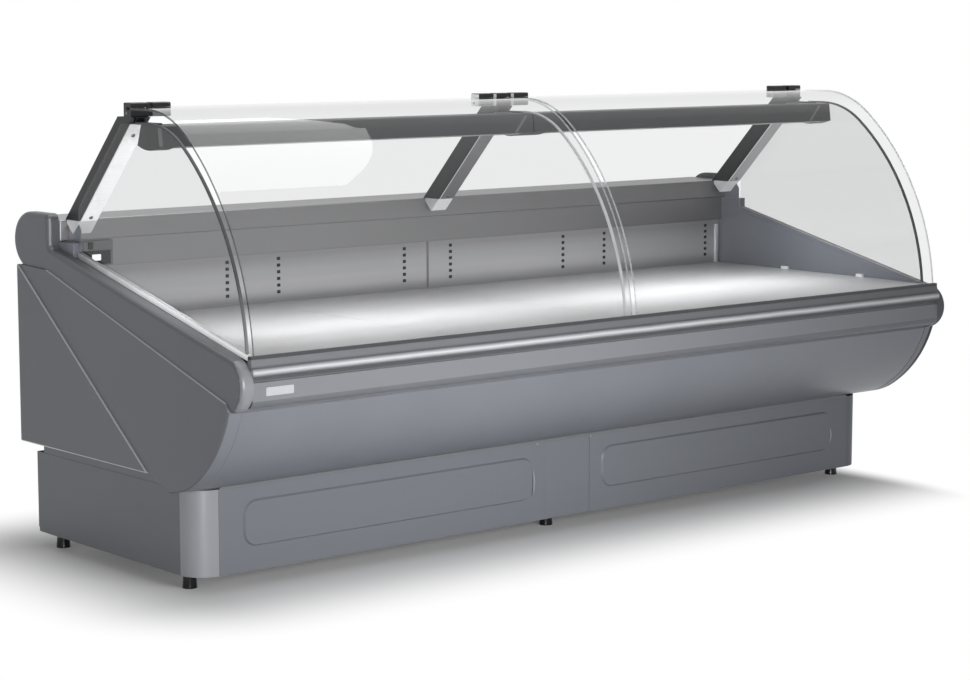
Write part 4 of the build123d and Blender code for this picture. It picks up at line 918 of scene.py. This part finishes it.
# Recessed skirt that closes the neck between the base and the tub, and covers over the neck at both ends.
# The skirt glows faintly: painted light, so the shaded neck shows grey rather than dark
side_low, side_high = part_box("base_sides")
seat_gap = 0.0003
neck_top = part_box("tub_floor")[0].z - seat_gap
skirt_thickness = 0.0015
skirt_corner = 0.03
skirt_foot = side_high.z - 0.012
skirt_half = side_high.x - 0.0068
skirt_front = -0.1885
skirt_rear = 0.4865
neck_cover_inset = 0.004
neck_cover_corner = 0.0005
neck_cover_rise = 0.003
neck_cover_slope = 0.0002


def neck_skirt(grid):
    """Closed band of sheet round the neck."""
    middle = Vector((0, (skirt_front + skirt_rear) / 2, 0))
    rings = []
    outside = ((skirt_foot, 0), (neck_top, 0))
    inside = ((neck_top, skirt_thickness), (skirt_foot, skirt_thickness))
    for z, inset in outside + inside:
        size = (2 * (skirt_half - inset), skirt_rear - skirt_front - 2 * inset)
        points = rounded_outline(middle + z_axis * z, x_axis, y_axis, size, skirt_corner - inset)
        rings.append([grid.verts.new(point) for point in points])
    join_rings(grid, rings + rings[:1])


def neck_sides(grid):
    """Flat covers over the neck at both ends, level with the sides of the base."""
    foot = side_high.z + seat_gap
    size = (skirt_rear - side_low.y, neck_top - foot)
    reach = side_high.x - neck_cover_inset
    for side in (-1, 1):
        centre = Vector((side * reach, (side_low.y + skirt_rear) / 2, (foot + neck_top) / 2))
        outline = rounded_outline(centre, y_axis, z_axis, size, neck_cover_corner, steps=2)
        raised_plate(grid, outline, x_axis * side, neck_cover_rise, neck_cover_slope)


new_piece("neck_skirt", neck_skirt, "neck", "cabinet")
new_piece("neck_sides", neck_sides, "end", "cabinet")

# Fillers that close the corner between the worktop and the rear edge of each end glass, as places (Y, Z)
filler_x = 1.2345
filler_rise = 0.0015
filler_slope = 0.0005
filler_outline = (
    (0.345, 0.8475), (0.345, 0.912), (0.322, 0.912),
    (0.298, 0.9), (0.2825, 0.88), (0.2825, 0.8475),
)


def end_fillers(grid):
    """Thin plates with a slanting upper corner at the front."""
    for side in (-1, 1):
        outline = [Vector((side * filler_x, y, z)) for y, z in filler_outline]
        raised_plate(grid, outline, x_axis * -side, filler_rise, filler_slope)


new_piece("end_fillers", end_fillers, "liner", "cabinet")

# Dark squares over the holes in the back wall, a painted shadow for the shade inside the holes, and the
# strip over its middle joint
wall_low, wall_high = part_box("back_walls")
hole_columns = (0.088, 0.542, 0.717, 1.17)
hole_rows = 6
hole_pitch = 0.019
hole_first_z = 0.6605
hole_size = (0.0115, 0.0092)
hole_corner = 0.0015
hole_rise = 0.0006
hole_slope = 0.0004
joint_foot = 0.634
joint_top = wall_high.z - 0.001
joint_width = 0.007
joint_corner = 0.001
joint_rise = 0.0012
joint_slope = 0.001


def hole_shadow_squares(grid):
    """Dark squares a little larger than the holes, in four columns either side of the middle: painted
    shadow.
    """
    for x in [side * reach for side in (-1, 1) for reach in hole_columns]:
        for row in range(hole_rows):
            centre = Vector((x, wall_low.y, hole_first_z + row * hole_pitch))
            front_plate(grid, centre, hole_size, hole_corner, hole_rise, hole_slope, steps=2)


def joint_strip(grid):
    """Slim cover strip over the middle joint of the back wall."""
    centre = Vector((0, wall_low.y, (joint_foot + joint_top) / 2))
    size = (joint_width, joint_top - joint_foot)
    front_plate(grid, centre, size, joint_corner, joint_rise, joint_slope, steps=2)


new_piece("hole_shadow_squares", hole_shadow_squares, "shadow", "cabinet")
new_piece("joint_strip", joint_strip, "strip_dim", "cabinet")

# Light crescents at the right ends of the two embossed fields, a painted highlight on their rounded ends: X,
# Z, radius and half angle
highlight_mark_places = ((-0.1285, 0.152, 0.12, 0.31), (1.095, 0.149, 0.05, 0.52))
highlight_mark_width = 0.006
highlight_mark_tip = 0.0004
highlight_mark_rise = 0.0015
highlight_mark_steps = 10
panel_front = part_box("base_front_panels")[0].y


def emboss_highlight_marks(grid):
    """Slim light crescents on the front panels: painted highlight."""
    for x, z, radius, half_angle in highlight_mark_places:
        outer = []
        inner = []
        for step in range(highlight_mark_steps + 1):
            share = 2 * step / highlight_mark_steps - 1
            angle = half_angle * share
            thin = highlight_mark_width * (1 - share ** 2)
            for points, reach in ((outer, radius + thin / 2), (inner, radius - thin / 2 - highlight_mark_tip)):
                points.append(Vector((x - radius + reach * cos(angle), panel_front, z + reach * sin(angle))))
        raised_plate(grid, outer + inner[::-1], -y_axis, highlight_mark_rise, 0.0)


new_piece("emboss_highlight_marks", emboss_highlight_marks, "trim", "cabinet")

# Two small screws at the upper corners of the centre cover, and a lip over the joint between base and tub
cover_low, cover_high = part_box("base_centre_cover")
cover_screw_places = (-0.113, 0.088)
cover_screw_drop = 0.0045
cover_screw_radius = 0.004
lip_size = (2.34, 0.0044)
lip_corner = 0.001
lip_slope = 0.0004


def cover_screws(grid):
    """Button screws on the front of the base."""
    for x in cover_screw_places:
        place = Vector((x, cover_low.y, cover_high.z - cover_screw_drop))
        button_screw(grid, place, -y_axis, cover_screw_radius)


def neck_lip(grid):
    """Slim strip along the top of the base front."""
    centre = Vector((0, cover_high.y, cover_high.z + seat_gap + lip_size[1] / 2))
    front_plate(grid, centre, lip_size, lip_corner, cover_high.y - cover_low.y, lip_slope, steps=2)


new_piece("cover_screws", cover_screws, "trim", "cabinet")
new_piece("neck_lip", neck_lip, "seam", "cabinet")

# Screws on the rear: along the lower and upper edges of the rear panels, and along the top of the grilles
rear_low, rear_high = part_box("rear_panels")
grille_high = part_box("base_rear_grilles")[1]
rear_screw_radius = 0.005
rear_screw_margin = 0.03
rear_screw_count = 5
rear_screw_rows = (
    (rear_high, rear_low.z + rear_screw_margin),
    (rear_high, rear_high.z - rear_screw_margin),
    (grille_high, grille_high.z - rear_screw_margin / 2),
)


def rear_screws(grid):
    """Rows of button screws, from the middle outward on both sides."""
    for high, z in rear_screw_rows:
        run = high.x - 2 * rear_screw_margin
        for side in (-1, 1):
            for index in range(rear_screw_count):
                x = side * (rear_screw_margin + run * index / (rear_screw_count - 1))
                button_screw(grid, Vector((x, high.y, z)), y_axis, rear_screw_radius)


new_piece("rear_screws", rear_screws, "screw", "cabinet")


# Floor, light and camera

def seen_share(tree):
    """1 for what the camera sees, straight, mirrored or through glass, and 0 for light on the counter."""
    path = tree.nodes.new("ShaderNodeLightPath")
    direct = add_math(tree, "MAXIMUM", path.outputs["Is Camera Ray"], path.outputs["Is Glossy Ray"])
    return add_math(tree, "MAXIMUM", direct, path.outputs["Is Transmission Ray"])


def beyond(tree, first, second):
    """The larger of two distances, and never less than none."""
    return add_math(tree, "MAXIMUM", add_math(tree, "MAXIMUM", first, second), 0.0)


def floor_white_share(tree):
    """Share of plain white on the floor, which grows with the distance from the base: a painted edge to the
    floor's shadow, which ends sooner on the right.
    """
    axes = add_axes(tree)
    left = add_math(tree, "SUBTRACT", -shade_half, axes["X"])
    right = add_math(tree, "MULTIPLY", add_math(tree, "SUBTRACT", axes["X"], shade_half), shade_right)
    front = add_math(tree, "SUBTRACT", shade_front, axes["Y"])
    back = add_math(tree, "SUBTRACT", axes["Y"], shade_back)
    across = add_math(tree, "POWER", beyond(tree, left, right), 2.0)
    along = add_math(tree, "POWER", beyond(tree, front, back), 2.0)
    distance = add_math(tree, "SQRT", add_math(tree, "ADD", across, along))
    return add_range(tree, distance, shade_least, 1.0, 0.0, shade_reach, "SMOOTHSTEP")


def plain_floor():
    """Pale floor that keeps the shadow near the counter and runs out to white: real shadow on a grey floor,
    with a painted shadow edge.
    """
    mesh = bpy.data.meshes.new("floor")
    half = floor_size / 2
    corners = [(-half, -half, 0), (half, -half, 0), (half, half, 0), (-half, half, 0)]
    mesh.from_pydata(corners, [], [(0, 1, 2, 3)])
    floor = bpy.data.objects.new("floor", mesh)
    bpy.context.scene.collection.objects.link(floor)
    material, tree, output = start_material("floor_white")
    lit = tree.nodes.new("ShaderNodeBsdfDiffuse")
    lit.inputs["Color"].default_value = (floor_shade, floor_shade, floor_shade, 1)
    bright = tree.nodes.new("ShaderNodeEmission")
    share = add_math(tree, "MULTIPLY", seen_share(tree), floor_white_share(tree))
    mix_shaders(tree, share, lit.outputs["BSDF"], bright.outputs["Emission"], output)
    mesh.materials.append(material)


def white_world():
    """World that shows as white and lights the counter at a plain level."""
    world = bpy.data.worlds.new("studio")
    world.use_nodes = True
    bpy.context.scene.world = world
    tree = world.node_tree
    tree.nodes.clear()
    output = tree.nodes.new("ShaderNodeOutputWorld")
    light = tree.nodes.new("ShaderNodeBackground")
    light.inputs["Strength"].default_value = ambient_light
    white = tree.nodes.new("ShaderNodeBackground")
    for background in (light, white):
        background.inputs["Color"].default_value = (1, 1, 1, 1)
    mix_shaders(tree, seen_share(tree), light.outputs["Background"], white.outputs["Background"], output)


def soft_light(name, place, target, size, power, mirrored):
    """Rectangular soft light at a place, facing a target, shown in mirroring surfaces or not."""
    lamp = bpy.data.lights.new(name, "AREA")
    lamp.shape = "RECTANGLE"
    lamp.size, lamp.size_y = size
    lamp.energy = power
    light = bpy.data.objects.new(name, lamp)
    light.location = place
    light.rotation_mode = "QUATERNION"
    light.rotation_quaternion = (Vector(target) - Vector(place)).to_track_quat("-Z", "Y")
    light.visible_camera = False
    light.visible_glossy = mirrored
    bpy.context.scene.collection.objects.link(light)
    return light


# Lights that fill, and cards that only show in mirroring surfaces: place, target, size and power in watts
fill_lights = {
    "front_light": ((-0.7, -2.5, 0.6), (-0.6, -0.4, 0.45), (1.4, 0.8), 44),
    "left_light": ((-3.8, -0.2, 0.45), (-1.3, 0.1, 0.45), (1.6, 0.7), 20),
    "right_light": ((3.8, 0.4, 0.5), (1.3, 0.2, 0.45), (1.6, 0.7), 18),
    "rear_light": ((0.4, 3.3, 0.5), (0.2, 0.5, 0.42), (2.2, 0.7), 40),
}
cards = {
    "top_card": ((-0.5, 0.25, 4.0), (-0.5, 0.25, 0.6), (4.0, 3.4), 165),
    "corner_card": ((-3.6, -4.1, 1.0), (-1.2, -0.3, 0.4), (2.0, 2.0), 320),
}

# Light of the two lamps: side, power, and how far each is cut short at its outer end
lamps = {"left_lamp": (-1, 4.5, 0.0), "right_lamp": (1, 4.8, 0.1)}
lamp_low, lamp_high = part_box("lamp_lenses")
lamp_start = 0.0535
lamp_margin = 0.0065
lamp_width = 0.07
lamp_spread = radians(98)
lamp_y = lamp_low.y - 0.044
lamp_z = lamp_low.z - 0.003

plain_floor()
white_world()
for name, (place, target, size, power) in fill_lights.items():
    soft_light(name, place, target, size, power, mirrored=False)
for name, (place, target, size, power) in cards.items():
    card = soft_light(name, place, target, size, power, mirrored=True)
    card.visible_diffuse = False
for name, (side, power, cut) in lamps.items():
    lamp_end = lamp_high.x - lamp_margin - cut
    middle = Vector((side * (lamp_start + lamp_end) / 2, lamp_y, lamp_z))
    size = (lamp_end - lamp_start, lamp_width)
    lamp = soft_light(name, middle, middle - z_axis, size, power, mirrored=False)
    lamp.data.spread = lamp_spread

lens_data = bpy.data.cameras.new("photo_camera")
lens_data.sensor_fit = "HORIZONTAL"
lens_data.sensor_width = camera_sensor
lens_data.lens = camera_lens
camera = bpy.data.objects.new("photo_camera", lens_data)
camera.location = camera_place
camera.rotation_mode = "QUATERNION"
camera.rotation_quaternion = camera_forward.to_track_quat("-Z", "Y")
bpy.context.scene.collection.objects.link(camera)
bpy.context.scene.camera = camera
bpy.context.scene.view_settings.view_transform = "Standard"
